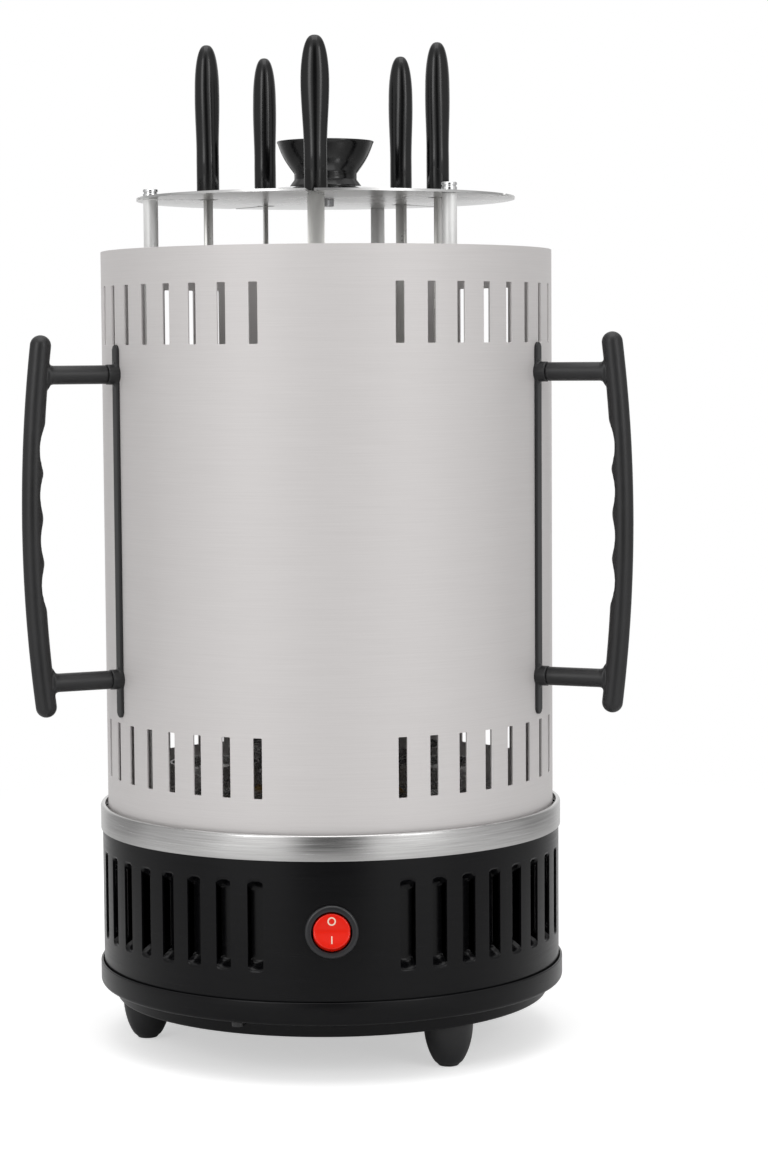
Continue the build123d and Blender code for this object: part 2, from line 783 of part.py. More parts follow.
def handle_grip(side):
    reach = casing_radius + grip_reach
    middle = (grip_bottom + grip_top) / 2
    bottom = Vector(0, -reach, grip_bottom + grip_radius)
    top = Vector(0, -reach, grip_top - grip_radius)
    path = ThreePointArc(bottom, (0, -reach - grip_bow, middle), top)
    grip = sweep(Plane(bottom, z_dir=path % 0) * Circle(grip_radius), path)
    grip += Pos(*bottom) * Sphere(grip_radius)
    grip += Pos(*top) * Sphere(grip_radius)
    for height in (arm_bottom, arm_top):
        grip += Pos(0, 0, height) * outward_cylinder(arm_radius, casing_radius + boss_reach, reach)
    chord = (groove_pitch - groove_land) / 2
    groove_radius = (chord ** 2 + groove_depth ** 2) / (2 * groove_depth)
    inner_side = reach + grip_bow - grip_radius
    for k in range(groove_count):
        height = groove_centre + groove_pitch * (k - (groove_count - 1) / 2)
        cutter = Rot(0, 90, 0) * Cylinder(groove_radius, 3 * grip_radius)
        grip -= Pos(0, -inner_side - groove_depth + groove_radius, height) * cutter
    for height in (arm_bottom, arm_top):
        start = casing_radius + boss_reach - past
        hole = outward_cylinder(screw_radius + thread_fit, start, casing_inner + handle_screw_depth)
        grip -= Pos(0, 0, height) * hole
    return around(side * handle_azimuth) * grip


def handle_screws():
    head_face = casing_inner - thread_fit
    screw = outward_cylinder(screw_radius, head_face, casing_inner + handle_screw_depth - screw_end_gap)
    screw += outward_cylinder(screw_head_radius, head_face - screw_head_height, head_face)
    placed = []
    for side in (-1, 1):
        for height in (arm_bottom, arm_top):
            placed.append(around(side * handle_azimuth, 0, height) * screw)
    return solids_of(placed)


# --- Rocker switch: a round snap-in housing, and a rocker on two pins with its upper half pressed in
def switch_housing():
    housing = outward_cylinder(switch_body_radius, wall_radius - switch_body_depth, wall_radius)
    flange = outward_cylinder(bezel_radius, wall_radius, bezel_face)
    housing += fillet(flange.edges().sort_by(Axis.Y)[0], bezel_edge_radius)
    pocket_floor = bezel_face - rocker_depth - rocker_radius - sheet_gap
    housing -= outward_cylinder(rocker_radius + sheet_gap, pocket_floor, bezel_face + past)
    pin_length = rocker_width + 2 * (rocker_pin_length + rocker_pin_play)
    pin = Rot(0, 90, 0) * Cylinder(rocker_pin_radius + running_fit, pin_length)
    housing -= Pos(0, -bezel_face + rocker_depth, 0) * pin
    return Pos(0, 0, switch_centre) * housing


def switch_rocker():
    """A ball-backed rocker, flat at its sides, with two wings that meet in a shallow valley."""
    ball = Sphere(rocker_radius) & Box(rocker_width, 3 * rocker_radius, 3 * rocker_radius)
    far = 2 * rocker_radius
    rise = far * math.tan(math.radians(rocker_wing))
    front = Polyline(
        (-3 * rocker_radius, far), (-rocker_depth - rise, far), (-rocker_depth, 0),
        (-rocker_depth - rise, -far), (-3 * rocker_radius, -far), close=True,
    )
    ball -= Pos(-rocker_width, 0, 0) * extrude(make_face(Plane.YZ * front), 2 * rocker_width, dir=(1, 0, 0))
    ball -= Pos(0, rocker_radius / 2, 0) * Box(
        2 * rocker_width, rocker_radius, 3 * rocker_radius, align=(Align.CENTER, Align.MIN, Align.CENTER))
    ball += Rot(0, 90, 0) * Cylinder(rocker_pin_radius, rocker_width + 2 * rocker_pin_length)
    place = Pos(0, -bezel_face + rocker_depth, switch_centre)
    return place * Rot(-rocker_wing, 0, 0) * ball


# --- Cord inlet: a flanged bush in the back of the wall, and the terminal block behind it
def cord_inlet_bush():
    bush = outward_cylinder(inlet_body_radius, wall_radius - inlet_depth, wall_radius + inlet_proud)
    bush += outward_cylinder(inlet_flange_radius, wall_radius, wall_radius + inlet_flange_height)
    bush -= outward_cylinder(
        inlet_bore_radius, wall_radius - inlet_depth - past, wall_radius + inlet_proud + past)
    return Rot(0, 0, 180) * Pos(0, 0, inlet_centre) * bush


def terminal_block():
    block = Pos(0, terminal_centre, pan_floor) * Box(
        terminal_length, terminal_width, terminal_height, align=BOTTOM)
    groove = Box(terminal_groove, terminal_width + past, terminal_height / 2,
                 align=(Align.CENTER, Align.CENTER, Align.MIN))
    for k in (-1, 1):
        block -= Pos(k * terminal_length / 6, terminal_centre, pan_floor + terminal_height / 2) * groove
    return block


pieces = {
    "bottom_pan": bottom_pan(),
    "base_wall": base_wall(),
    "trim_band": trim_band(),
    "drip_tray": drip_tray(),
    "gear_plate": gear_plate(),
    "standoffs": standoffs(),
    "gear_plate_screws": gear_plate_screws(),
    "base_screws": base_screws(),
    "foot_screws": foot_screws(),
    "gear_motor": gear_motor(),
    "motor_shaft": motor_shaft(),
    "drive_gear": drive_gear(),
    "spindle_bushes": spindle_bushes(),
    "post_nuts": post_nuts(),
    "top_plate": top_plate(),
    "top_dome": top_dome(),
    "top_knob": top_knob(),
    "knob_screw": knob_screw(),
    "heater_socket": heater_socket(),
    "heater_core": disc(core_radius, core_bottom, core_top),
    "heater_winding": heater_winding(),
    "heater_holder": heater_holder(),
    "heater_guard": heater_guard(),
    "casing": casing(),
    "handle_screws": handle_screws(),
    "switch_housing": switch_housing(),
    "switch_rocker": switch_rocker(),
    "cord_inlet_bush": cord_inlet_bush(),
    "terminal_block": terminal_block(),
}
for number, azimuth in enumerate(thirds(foot_azimuth), 1):
    pieces[f"foot_{number}"] = around(azimuth, foot_circle) * foot()
for number, azimuth in enumerate(thirds(post_azimuth), 1):
    pieces[f"post_{number}"] = post(azimuth)
for side, name in ((-1, "left"), (1, "right")):
    pieces[f"handle_rail_{name}"] = handle_rail(side)
    pieces[f"handle_grip_{name}"] = handle_grip(side)
for index, azimuth in enumerate(station_azimuths()):
    pieces[f"station_gear_{index + 1}"] = station_gear(azimuth)
    pieces[f"drip_cup_{index + 1}"] = drip_cup(index)
    pieces[f"skewer_blade_{index + 1}"] = skewer_blade(index)
    pieces[f"skewer_handle_{index + 1}"] = skewer_handle(index)

os.makedirs("parts", exist_ok=True)
for name, piece in pieces.items():
    export_step(piece, f"parts/{name}.step")
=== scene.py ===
import math

import bmesh
import bpy
from mathutils import Euler, Matrix, Vector


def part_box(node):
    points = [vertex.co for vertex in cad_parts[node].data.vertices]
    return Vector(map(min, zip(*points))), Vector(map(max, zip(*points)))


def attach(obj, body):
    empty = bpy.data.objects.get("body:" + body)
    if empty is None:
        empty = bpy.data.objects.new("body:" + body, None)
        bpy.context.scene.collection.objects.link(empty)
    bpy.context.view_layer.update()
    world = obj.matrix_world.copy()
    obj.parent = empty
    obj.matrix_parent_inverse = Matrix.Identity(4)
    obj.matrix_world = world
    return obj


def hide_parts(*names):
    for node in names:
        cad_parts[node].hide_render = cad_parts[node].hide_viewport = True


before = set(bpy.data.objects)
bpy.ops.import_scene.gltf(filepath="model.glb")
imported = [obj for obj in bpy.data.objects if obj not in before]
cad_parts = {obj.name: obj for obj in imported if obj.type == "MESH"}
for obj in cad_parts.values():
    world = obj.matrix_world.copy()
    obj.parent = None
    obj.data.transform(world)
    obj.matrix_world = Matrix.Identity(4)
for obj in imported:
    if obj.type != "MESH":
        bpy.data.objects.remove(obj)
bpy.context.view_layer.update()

# --- Camera. It stands in front of the switch at the height of the casing's upper half, looks slightly
# down, and is turned a little to the right, so that the grill stands left of the picture's middle.
IMAGE_HEIGHT, FOCAL_PIXELS, SENSOR_WIDTH, SIGHT = 1164, 2883.4, 36.0, 50.0
CAMERA_PLACE = (0.0010, -1.2388, 0.2949)
LOOK_DOWN, TURN_RIGHT, TILT = math.radians(4.579), math.radians(1.05), math.radians(0.397)
camera_data = bpy.data.cameras.new("camera")
camera_data.sensor_width = SENSOR_WIDTH
camera_data.lens = FOCAL_PIXELS / IMAGE_HEIGHT * SENSOR_WIDTH
camera_data.clip_end = SIGHT


def in_scene(name, data):
    """A new object in the scene."""
    thing = bpy.data.objects.new(name, data)
    bpy.context.scene.collection.objects.link(thing)
    return thing


camera = in_scene("camera", camera_data)
camera.location = CAMERA_PLACE
heading = Euler((math.pi / 2 - LOOK_DOWN, 0.0, -TURN_RIGHT)).to_matrix()
camera.rotation_euler = (heading @ Matrix.Rotation(-TILT, 3, "Z")).to_euler()
bpy.context.scene.camera = camera

# --- Studio. A white room with a wide lamp on each side in front and one above. To the eye the room is
# plain white, and metal sees it darker straight in front and at both sides, as between real panels.
ROOM_LEVELS = [(0, 0.09), (9, 0.13), (24, 1.15), (46, 1.15), (62, 0.75), (92, 0.62), (112, 0.36), (132, 0.44),
               (150, 0.75), (180, 1.0)]
CEILING_START, CEILING_FULL, CEILING_LEVEL, PLAIN_LEVEL = 0.40, 0.80, 1.2, 0.72
LAMP_AIM = Vector((0, 0, 0.2))
bpy.context.scene.view_settings.view_transform = "Standard"


def wired(tree, kind, inputs, **settings):
    """A new node in a tree, with its settings, and with numbers or sockets at its inputs."""
    node = tree.nodes.new(kind)
    for setting, value in settings.items():
        setattr(node, setting, value)
    for key, value in inputs.items():
        if isinstance(value, bpy.types.NodeSocket):
            tree.links.new(value, node.inputs[key])
        else:
            node.inputs[key].default_value = value
    return node


def maths(tree, operation, *values):
    """The result of a Math node whose inputs are numbers or sockets."""
    return wired(tree, "ShaderNodeMath", dict(enumerate(values)), operation=operation).outputs[0]


def room_level(tree, vector):
    """The room's brightness in a direction, by degrees from straight in front (-Y) and by height."""
    axes = wired(tree, "ShaderNodeSeparateXYZ", {0: vector}).outputs
    turn = maths(tree, "ARCTAN2", axes["X"], maths(tree, "MULTIPLY", axes["Y"], -1.0))
    share = maths(tree, "DIVIDE", maths(tree, "ABSOLUTE", turn), math.pi)
    panels = wired(tree, "ShaderNodeValToRGB", {0: share})
    panels.color_ramp.interpolation = "EASE"
    while len(panels.color_ramp.elements) < len(ROOM_LEVELS):
        panels.color_ramp.elements.new(0.5)
    for element, (degrees, level) in zip(panels.color_ramp.elements, ROOM_LEVELS):
        element.position = degrees / 180
        element.color = (level, level, level, 1.0)
    above = wired(tree, "ShaderNodeMapRange", {
        "Value": axes["Z"], "From Min": CEILING_START, "From Max": CEILING_FULL, "To Max": CEILING_LEVEL},
        interpolation_type="SMOOTHSTEP")
    return maths(tree, "MAXIMUM", panels.outputs[0], above.outputs["Result"])


world = bpy.data.worlds.new("white_room")
bpy.context.scene.world = world
world.use_nodes = True
tree = world.node_tree
tree.nodes.clear()
rays = tree.nodes.new("ShaderNodeLightPath").outputs
mirrored = room_level(tree, tree.nodes.new("ShaderNodeTexCoord").outputs["Generated"])
plain = maths(tree, "MULTIPLY_ADD", rays["Is Glossy Ray"], -PLAIN_LEVEL, PLAIN_LEVEL)
unseen = maths(tree, "MULTIPLY_ADD", mirrored, rays["Is Glossy Ray"], plain)
seen = maths(tree, "MAXIMUM", rays["Is Camera Ray"], rays["Is Transmission Ray"])
level = maths(tree, "MULTIPLY_ADD", unseen, maths(tree, "SUBTRACT", 1.0, seen), seen)
background = wired(tree, "ShaderNodeBackground", {"Color": (1.0, 1.0, 1.0, 1.0), "Strength": level})
wired(tree, "ShaderNodeOutputWorld", {"Surface": background.outputs[0]})


def lamp(name, place, size, power):
    light = bpy.data.lights.new(name, "AREA")
    light.shape = "RECTANGLE"
    light.size, light.size_y = size
    light.energy = power
    thing = in_scene(name, light)
    thing.location = place
    thing.rotation_euler = (LAMP_AIM - Vector(place)).to_track_quat("-Z", "Y").to_euler()


lamp("left_panel", place=(-1.15, -1.45, 0.85), size=(0.6, 1.1), power=5.8)
lamp("right_panel", place=(1.25, -1.40, 0.85), size=(0.45, 1.1), power=4.8)
lamp("top_panel", place=(0.0, -0.3, 1.7), size=(1.2, 1.2), power=7.0)

# --- Floor. A wide sheet of white paper under the feet. It keeps the grill's soft shadow near them, and
# further out it fades into the white room.
REACH, SHADOW_REACH, FADED_REACH, PAPER_TONE, PAPER_GLOW = 12.0, 0.22, 0.75, 0.8, 0.50
corners = [(-REACH, -REACH, 0), (REACH, -REACH, 0), (REACH, REACH, 0), (-REACH, REACH, 0)]
floor_mesh = bpy.data.meshes.new("floor")
floor_mesh.from_pydata(corners, [], [(0, 1, 2, 3)])
floor = in_scene("floor", floor_mesh)
paper = bpy.data.materials.new("white_paper")
paper.use_nodes = True
tree = paper.node_tree
tree.nodes.clear()
rays = tree.nodes.new("ShaderNodeLightPath").outputs
place = tree.nodes.new("ShaderNodeTexCoord").outputs["Object"]
distance = wired(tree, "ShaderNodeVectorMath", {0: place}, operation="LENGTH").outputs["Value"]
away = wired(tree, "ShaderNodeMapRange", {
    "Value": distance, "From Min": SHADOW_REACH, "From Max": FADED_REACH},
    interpolation_type="SMOOTHSTEP").outputs["Result"]


def emitted(strength):
    return wired(tree, "ShaderNodeEmission", {"Strength": strength}).outputs[0]


def blended(share, first, second):
    return wired(tree, "ShaderNodeMixShader", {0: share, 1: first, 2: second}).outputs[0]


sheet = wired(tree, "ShaderNodeBsdfDiffuse", {"Color": (PAPER_TONE, PAPER_TONE, PAPER_TONE, 1.0)}).outputs[0]
lifted = wired(tree, "ShaderNodeAddShader", {0: sheet, 1: emitted(PAPER_GLOW)}).outputs[0]
to_eye = blended(away, lifted, emitted(1.0))
to_metal = blended(away, sheet, emitted(room_level(tree, place)))
to_rest = blended(rays["Is Glossy Ray"], sheet, to_metal)
wired(tree, "ShaderNodeOutputMaterial", {"Surface": blended(rays["Is Camera Ray"], to_rest, to_eye)})
floor_mesh.materials.append(paper)


# --- Feet. Three moulded bullet shapes in black plastic with a slightly pebbled skin, each held by one
# screw from inside the pan.
def group(name, inputs):
    """A shader node group with numbers in, by name and default, and a height, a gloss and a tone out."""
    tree = bpy.data.node_groups.new(name, "ShaderNodeTree")
    for socket, default in (*inputs, ("Roughness Low", 0.3), ("Roughness High", 0.45)):
        made = tree.interface.new_socket(name=socket, in_out="INPUT", socket_type="NodeSocketFloat")
        made.default_value = default
    for socket in ("Height", "Roughness", "Tone"):
        tree.interface.new_socket(name=socket, in_out="OUTPUT", socket_type="NodeSocketFloat")
    return tree, tree.nodes.new("NodeGroupInput").outputs


NOISE_LOW, NOISE_HIGH = 0.3, 0.7


def noise(tree, vector, scale, detail, rough=0.5):
    inputs = {"Vector": vector, "Scale": scale, "Detail": detail, "Roughness": rough}
    return wired(tree, "ShaderNodeTexNoise", inputs).outputs["Fac"]


def spread(tree, value, low, high):
    """Spreads the range that most of a noise lies in between two levels."""
    inputs = {"Value": value, "From Min": NOISE_LOW, "From Max": NOISE_HIGH, "To Min": low, "To Max": high}
    return wired(tree, "ShaderNodeMapRange", inputs).outputs["Result"]


def give_out(tree, given, height, pattern):
    """Ends a group: one noise gives its height, and one its gloss and its tone."""
    gloss = spread(tree, pattern, given["Roughness Low"], given["Roughness High"])
    tone = spread(tree, pattern, 0.0, 1.0)
    wired(tree, "NodeGroupOutput", {"Height": height, "Roughness": gloss, "Tone": tone})


# Moulded or painted skin: a fine pebble in the height, broad smudges in the gloss and the tone.
skin, given = group("moulded_skin", [("Pebble Scale", 2500.0), ("Smudge Scale", 28.0)])
place = skin.nodes.new("ShaderNodeTexCoord").outputs["Object"]
pebble = noise(skin, place, given["Pebble Scale"], detail=2.0)
give_out(skin, given, pebble, noise(skin, place, given["Smudge Scale"], detail=5.0, rough=0.6))
MIX_FIRST, MIX_SECOND, MIX_RESULT = 6, 7, 2


def finish(name, slot, effect, values, dark, light, distance, metallic=0.0, specular=0.5, relief=0.4):
    """A material whose tone, gloss and height come from a node group; its slot is not used."""
    made = bpy.data.materials.new(name)
    made.use_nodes = True
    tree = made.node_tree
    given = wired(tree, "ShaderNodeGroup", values, node_tree=effect).outputs
    tone = wired(tree, "ShaderNodeMix", {
        "Factor": given["Tone"], MIX_FIRST: (*dark, 1.0), MIX_SECOND: (*light, 1.0)}, data_type="RGBA")
    bump = wired(tree, "ShaderNodeBump", {"Height": given["Height"], "Distance": distance, "Strength": relief})
    shader = tree.nodes["Principled BSDF"]
    shader.inputs["Metallic"].default_value = metallic
    shader.inputs["Specular IOR Level"].default_value = specular
    tree.links.new(tone.outputs[MIX_RESULT], shader.inputs["Base Color"])
    tree.links.new(given["Roughness"], shader.inputs["Roughness"])
    tree.links.new(bump.outputs[0], shader.inputs["Normal"])
    return made


def moulded(name, slot, dark, light, rough, pebble, distance=0.00003, smudge=28.0, **shader):
    """A moulded plastic, a fired clay or a smooth metal."""
    low, high = rough
    values = {"Pebble Scale": pebble, "Smudge Scale": smudge, "Roughness Low": low, "Roughness High": high}
    return finish(name, slot, skin, values, dark, light, distance, **shader)


def smooth_by_angle(mesh, degrees):
    """Smooth shading, with the edges past an angle kept sharp."""
    shape = bmesh.new()
    shape.from_mesh(mesh)
    for face in shape.faces:
        face.smooth = True
    for edge in shape.edges:
        edge.smooth = len(edge.link_faces) == 2 and edge.calc_face_angle(0.0) < math.radians(degrees)
    shape.to_mesh(mesh)
    shape.free()


ON_SHEET, FACING_OUT, MERGED, ON_AXIS = 3e-5, 0.999, 2e-7, 1e-6


def true_to_axis(mesh, radii):
    """Gives the faces of a rolled sheet the normals of a true tube."""
    normals = [corner.vector.copy() for corner in mesh.corner_normals]
    for face in mesh.polygons:
        for corner in face.loop_indices:
            point = mesh.vertices[mesh.loops[corner].vertex_index].co
            outwards = Vector((point.x, point.y, 0.0)).normalized()
            facing = face.normal.dot(outwards)
            off = min(abs(math.hypot(point.x, point.y) - radius) for radius in radii)
            if off < ON_SHEET and abs(facing) > FACING_OUT:
                normals[corner] = outwards * math.copysign(1.0, facing)
    mesh.normals_split_custom_set(normals)


def piece(name, shape, look, body, nodes=(), place=None, sharp=38.0, worked=(), tube=()):
    """Makes the object of a mesh, works it with modifiers, and lets it ride on its body."""
    bmesh.ops.remove_doubles(shape, verts=shape.verts, dist=MERGED)
    bmesh.ops.recalc_face_normals(shape, faces=shape.faces)
    if place is not None:
        bmesh.ops.transform(shape, matrix=place, verts=shape.verts)
    mesh = bpy.data.meshes.new(name)
    shape.to_mesh(mesh)
    shape.free()
    thing = in_scene(name, mesh)
    for kind, settings in worked:
        modifier = thing.modifiers.new(kind.lower(), kind)
        for setting, value in settings.items():
            setattr(modifier, setting, value)
    if worked:
        graph = bpy.context.evaluated_depsgraph_get()
        shaped = bpy.data.meshes.new_from_object(thing.evaluated_get(graph))
        thing.modifiers.clear()
        thing.data = shaped
        bpy.data.meshes.remove(mesh)
        shaped.name = name
    smooth_by_angle(thing.data, sharp)
    if tube:
        true_to_axis(thing.data, tube)
    thing.data.materials.clear()
    thing.data.materials.append(look)
    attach(thing, body)
    if nodes:
        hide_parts(*nodes)


def rounded(points, steps=4):
    """A closed outline in which each (radius, height, bevel) corner becomes an arc."""
    path = []
    for index, point in enumerate(points):
        here = Vector(point[:2])
        if len(point) < 3:
            path.append(here)
            continue
        back = (Vector(points[index - 1][:2]) - here).normalized()
        ahead = (Vector(points[(index + 1) % len(points)][:2]) - here).normalized()
        half = back.angle(ahead) / 2
        run = point[2] / math.tan(half)
        centre = here + (back + ahead).normalized() * (point[2] / math.sin(half))
        start, end = here + back * run - centre, here + ahead * run - centre
        swing = start.angle_signed(end)
        path += [centre + Matrix.Rotation(-swing * step / steps, 2) @ start for step in range(steps + 1)]
    return path


def around(count):
    """Angles in equal steps round a full turn."""
    return [2 * math.pi * k / count for k in range(count)]


def lathe(outline, sides, shape=None, centre=(0.0, 0.0)):
    """A closed (radius, height) outline turned about an upright line."""
    shape = shape or bmesh.new()
    rings = []
    for radius, height in outline:
        turns = around(sides if radius > ON_AXIS else 1)
        rings.append([shape.verts.new((
            centre[0] + radius * math.sin(a), centre[1] - radius * math.cos(a), height)) for a in turns])
    for low, high in zip(rings, rings[1:] + rings[:1]):
        for k in range(sides if max(len(low), len(high)) > 1 else 0):
            corners = [low[k % len(low)], low[(k + 1) % len(low)]]
            corners += [high[(k + 1) % len(high)], high[k % len(high)]]
            shape.faces.new(list(dict.fromkeys(corners)))
    return shape


def block(inner, outer, low, high, *bevel):
    """The outline of a plain ring or disc, with a bevel or none on its outer edges."""
    return [(inner, low), (outer, low, *bevel), (outer, high, *bevel), (inner, high)]


def centre_of(node):
    low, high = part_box(node)
    return (low + high) / 2


foot_black = moulded("foot_plastic", "foot_black", (0.010, 0.010, 0.0105), (0.016, 0.016, 0.017),
                     (0.34, 0.44), 1400.0, specular=0.40)
# Shares of the foot's half width and height, and how its side swells.
FOOT_SOLE, FOOT_EDGE, FOOT_EDGE_RISE, FOOT_TIP, FOOT_TIP_RISE = 0.31, 0.40, 0.012, 0.466, 0.055
FOOT_SWELL, FOOT_SPREAD, FOOT_STEPS = 0.86, 1.25, 12
for number in (1, 2, 3):
    low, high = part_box(f"foot_{number}")
    tall, wide = high.z - low.z, (high.x - low.x) / 2
    profile = [(0, 0), (FOOT_SOLE * wide, 0), (FOOT_EDGE * wide, FOOT_EDGE_RISE * tall),
               (FOOT_TIP * wide, FOOT_TIP_RISE * tall)]
    for step in range(1, FOOT_STEPS + 1):
        share = step / FOOT_STEPS
        swell = math.sin(share * math.pi / 2) ** FOOT_SWELL
        rise = FOOT_TIP_RISE + (1 - FOOT_TIP_RISE) * share ** FOOT_SPREAD
        profile.append((wide * (FOOT_TIP + (1 - FOOT_TIP) * swell), tall * rise))
    profile.append((0, tall))
    middle = centre_of(f"foot_{number}")
    stand = Matrix.Translation((middle.x, middle.y, low.z))
    piece(f"foot_{number}_moulding", lathe(profile, sides=64), foot_black, "base", [f"foot_{number}"], stand)

# --- Bottom pan. Pressed from sheet steel with a stepped edge and an upright rim that stands a little
# proud of the wall, and coated in black satin lacquer over the mill's fine lines.
# Drawn lines: streaks that run round the axis, fine ones within broad ones.
lines, given = group("drawn_lines", [("Fineness", 900.0), ("Run", 1.6)])
place = lines.nodes.new("ShaderNodeTexCoord").outputs["Object"]
axes = wired(lines, "ShaderNodeSeparateXYZ", {0: place}).outputs
turn = maths(lines, "ARCTAN2", axes["Y"], axes["X"])
square_x = maths(lines, "MULTIPLY", axes["X"], axes["X"])
radius = maths(lines, "SQRT", maths(lines, "MULTIPLY_ADD", axes["Y"], axes["Y"], square_x))
unrolled = wired(lines, "ShaderNodeCombineXYZ", {
    "X": maths(lines, "MULTIPLY", turn, given["Run"]),
    "Y": maths(lines, "MULTIPLY", axes["Z"], given["Fineness"]),
    "Z": maths(lines, "MULTIPLY", radius, given["Fineness"])}).outputs[0]
streak = noise(lines, unrolled, 2.0, detail=6.0, rough=0.65)
give_out(lines, given, streak, streak)


def lined(name, slot, dark, light, rough, fineness, distance=0.00003, **shader):
    """A metal or lacquer with drawn lines."""
    low, high = rough
    values = {"Fineness": fineness, "Roughness Low": low, "Roughness High": high}
    return finish(name, slot, lines, values, dark, light, distance, relief=0.25, **shader)


enamel = lined("black_lacquer", "black_enamel", (0.0014, 0.0014, 0.0018), (0.0030, 0.0030, 0.0036),
               (0.20, 0.28), 420.0, 0.00002, specular=0.18)
low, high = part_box("bottom_pan")
PAN_SHEET, PAN_SHELF, PAN_STEP = 0.0012, 0.0068, 0.0060
PAN_ROUND, PAN_CREASE, RIM_ROUND, RIM_EDGE = 0.0010, 0.0004, 0.0018, 0.0005
rim, step = high.x, high.x - PAN_SHELF
shelf = low.z + PAN_STEP
pan = [
    (0, low.z), (step, low.z, PAN_ROUND), (step, shelf, PAN_CREASE), (rim, shelf, RIM_ROUND),
    (rim, high.z, RIM_EDGE), (rim - PAN_SHEET, high.z, RIM_EDGE), (rim - PAN_SHEET, shelf + PAN_SHEET),
    (step - PAN_SHEET, shelf + PAN_SHEET), (step - PAN_SHEET, low.z + PAN_SHEET), (0, low.z + PAN_SHEET),
]
piece("pressed_pan", lathe(rounded(pan), sides=256), enamel, "base", ["bottom_pan"])


# --- Base wall. A rolled drum in the same black lacquer. Strips are cut on both long sides and pressed
# inwards between the cuts, so that air goes in beside them, and there are round holes for switch and cord.
SAME_MARK, SAME_LINE, SAME_DIGITS, COLUMN_STEP = 1e-7, 1e-6, 9, math.radians(2.2)
PATCH, PATCH_COLUMNS, PATCH_ROWS, STRIP_LINES, CORNER_STEPS = 1.25, 5, 4, (1.0, 0.8, 0.4), 3


def quarter(steps):
    """Angles through a quarter turn."""
    return [math.pi / 2 * step / steps for step in range(steps + 1)]


def lines_between(marks, widest):
    """Sorted grid lines through all marks, with steps no wider than asked."""
    marks = sorted(marks)
    kept = [marks[0]]
    for mark in marks[1:]:
        start = kept[-1]
        if mark - start < SAME_MARK:
            continue
        count = math.ceil((mark - start) / widest - SAME_LINE)
        kept += [start + (mark - start) * k / count for k in range(1, count + 1)]
    return kept


def rolled_sheet(radius, low, high, windows, corner=0.0, press=None, holes=(), levels=()):
    """A tube of one skin with rounded windows, or with strips pressed inwards at them.

    A window is (azimuth, height, width, length), press gives the inward depth from the place across
    and along a window, a hole is (azimuth, height, radius), and levels are more heights for grid lines."""
    full = 2 * math.pi
    across, along, spans, patches = [0.0], [low, high, *levels], [], []
    for azimuth, height, width, length in windows:
        half, tall = math.asin(width / 2 / radius), length / 2
        spans.append((azimuth, half, height, tall))
        marks = [half, half - corner / radius] if corner else [half * share for share in STRIP_LINES]
        across += [azimuth + side * mark for side in (-1, 1) for mark in marks]
        along += [height + side * (tall - mark) for side in (-1, 1) for mark in (0.0, corner)]
    for azimuth, height, hole in holes:
        half, tall = PATCH * hole / radius, PATCH * hole
        patches.append((azimuth, half, height, tall, hole))
        across += [azimuth + half * k / PATCH_COLUMNS for k in range(-PATCH_COLUMNS, PATCH_COLUMNS + 1)]
        along += [height + tall * k / PATCH_ROWS for k in range(-PATCH_ROWS, PATCH_ROWS + 1)]
    columns = lines_between([mark % full for mark in across] + [full], COLUMN_STEP)
    rows = lines_between(along, (high - low) / 3)
    shape = bmesh.new()

    def at(azimuth, height, depth=0.0):
        reach = radius - depth
        return shape.verts.new((reach * math.sin(azimuth), -reach * math.cos(azimuth), height))

    def offset(azimuth, centre):
        return (azimuth - centre + math.pi) % full - math.pi

    for left, right in zip(columns, columns[1:]):
        middle = (left + right) / 2
        near = next((s for s in spans if abs(offset(middle, s[0])) < s[1]), None)
        holed = [p for p in patches if abs(offset(middle, p[0])) < p[1]]
        for bottom, top in zip(rows, rows[1:]):
            level = (bottom + top) / 2
            if any(abs(level - height) < tall for _, _, height, tall, _ in holed):
                continue
            ends = [(left, bottom), (right, bottom), (right, top), (left, top)]
            span = next((s for s in spans if near and s[0] == near[0] and abs(level - s[2]) < s[3]), None)
            if span is None:
                shape.faces.new([at(a, z) for a, z in ends])
                continue
            centre, half, height, tall = span
            if press is not None:
                shape.faces.new([at(a, z, press(offset(a, centre) / half, z - height)) for a, z in ends])
                continue
            side, end = math.copysign(1, offset(middle, centre)), math.copysign(1, level - height)
            if abs(offset(middle, centre)) > half - corner / radius and abs(level - height) > tall - corner:
                pivot = (centre + side * (half - corner / radius), height + end * (tall - corner))
                arc = [(pivot[0] + side * corner / radius * math.cos(t), pivot[1] + end * corner * math.sin(t))
                       for t in quarter(CORNER_STEPS)]
                tip = (centre + side * half, height + end * tall)
                for first, second in zip(arc, arc[1:]):
                    shape.faces.new([at(*tip), at(*first), at(*second)])
    for centre, half, height, tall, hole in patches:
        inside = [round(offset(column, centre), SAME_DIGITS) for column in columns]
        inside = sorted({place for place in inside if abs(place) < half + SAME_LINE})
        beside = [r for r in rows if abs(r - height) < tall + SAME_LINE]
        edge = [(a, beside[0]) for a in inside] + [(inside[-1], z) for z in beside[1:]]
        edge += [(a, beside[-1]) for a in reversed(inside[:-1])]
        edge += [(inside[0], z) for z in reversed(beside[1:-1])]
        turns = [math.atan2(z - height, a * radius) for a, z in edge]
        circle = [(hole / radius * math.cos(t), height + hole * math.sin(t)) for t in turns]
        for k in range(len(edge)):
            quad = [edge[k - 1], edge[k], circle[k], circle[k - 1]]
            shape.faces.new([at(centre + a, z) for a, z in quad])
    return shape


def both_sides(middle, first, pitch, count):
    """Azimuths, in radians, in equal steps on both sides of a middle one."""
    return [math.radians(middle + side * (first + pitch * k)) for side in (-1, 1) for k in range(count)]


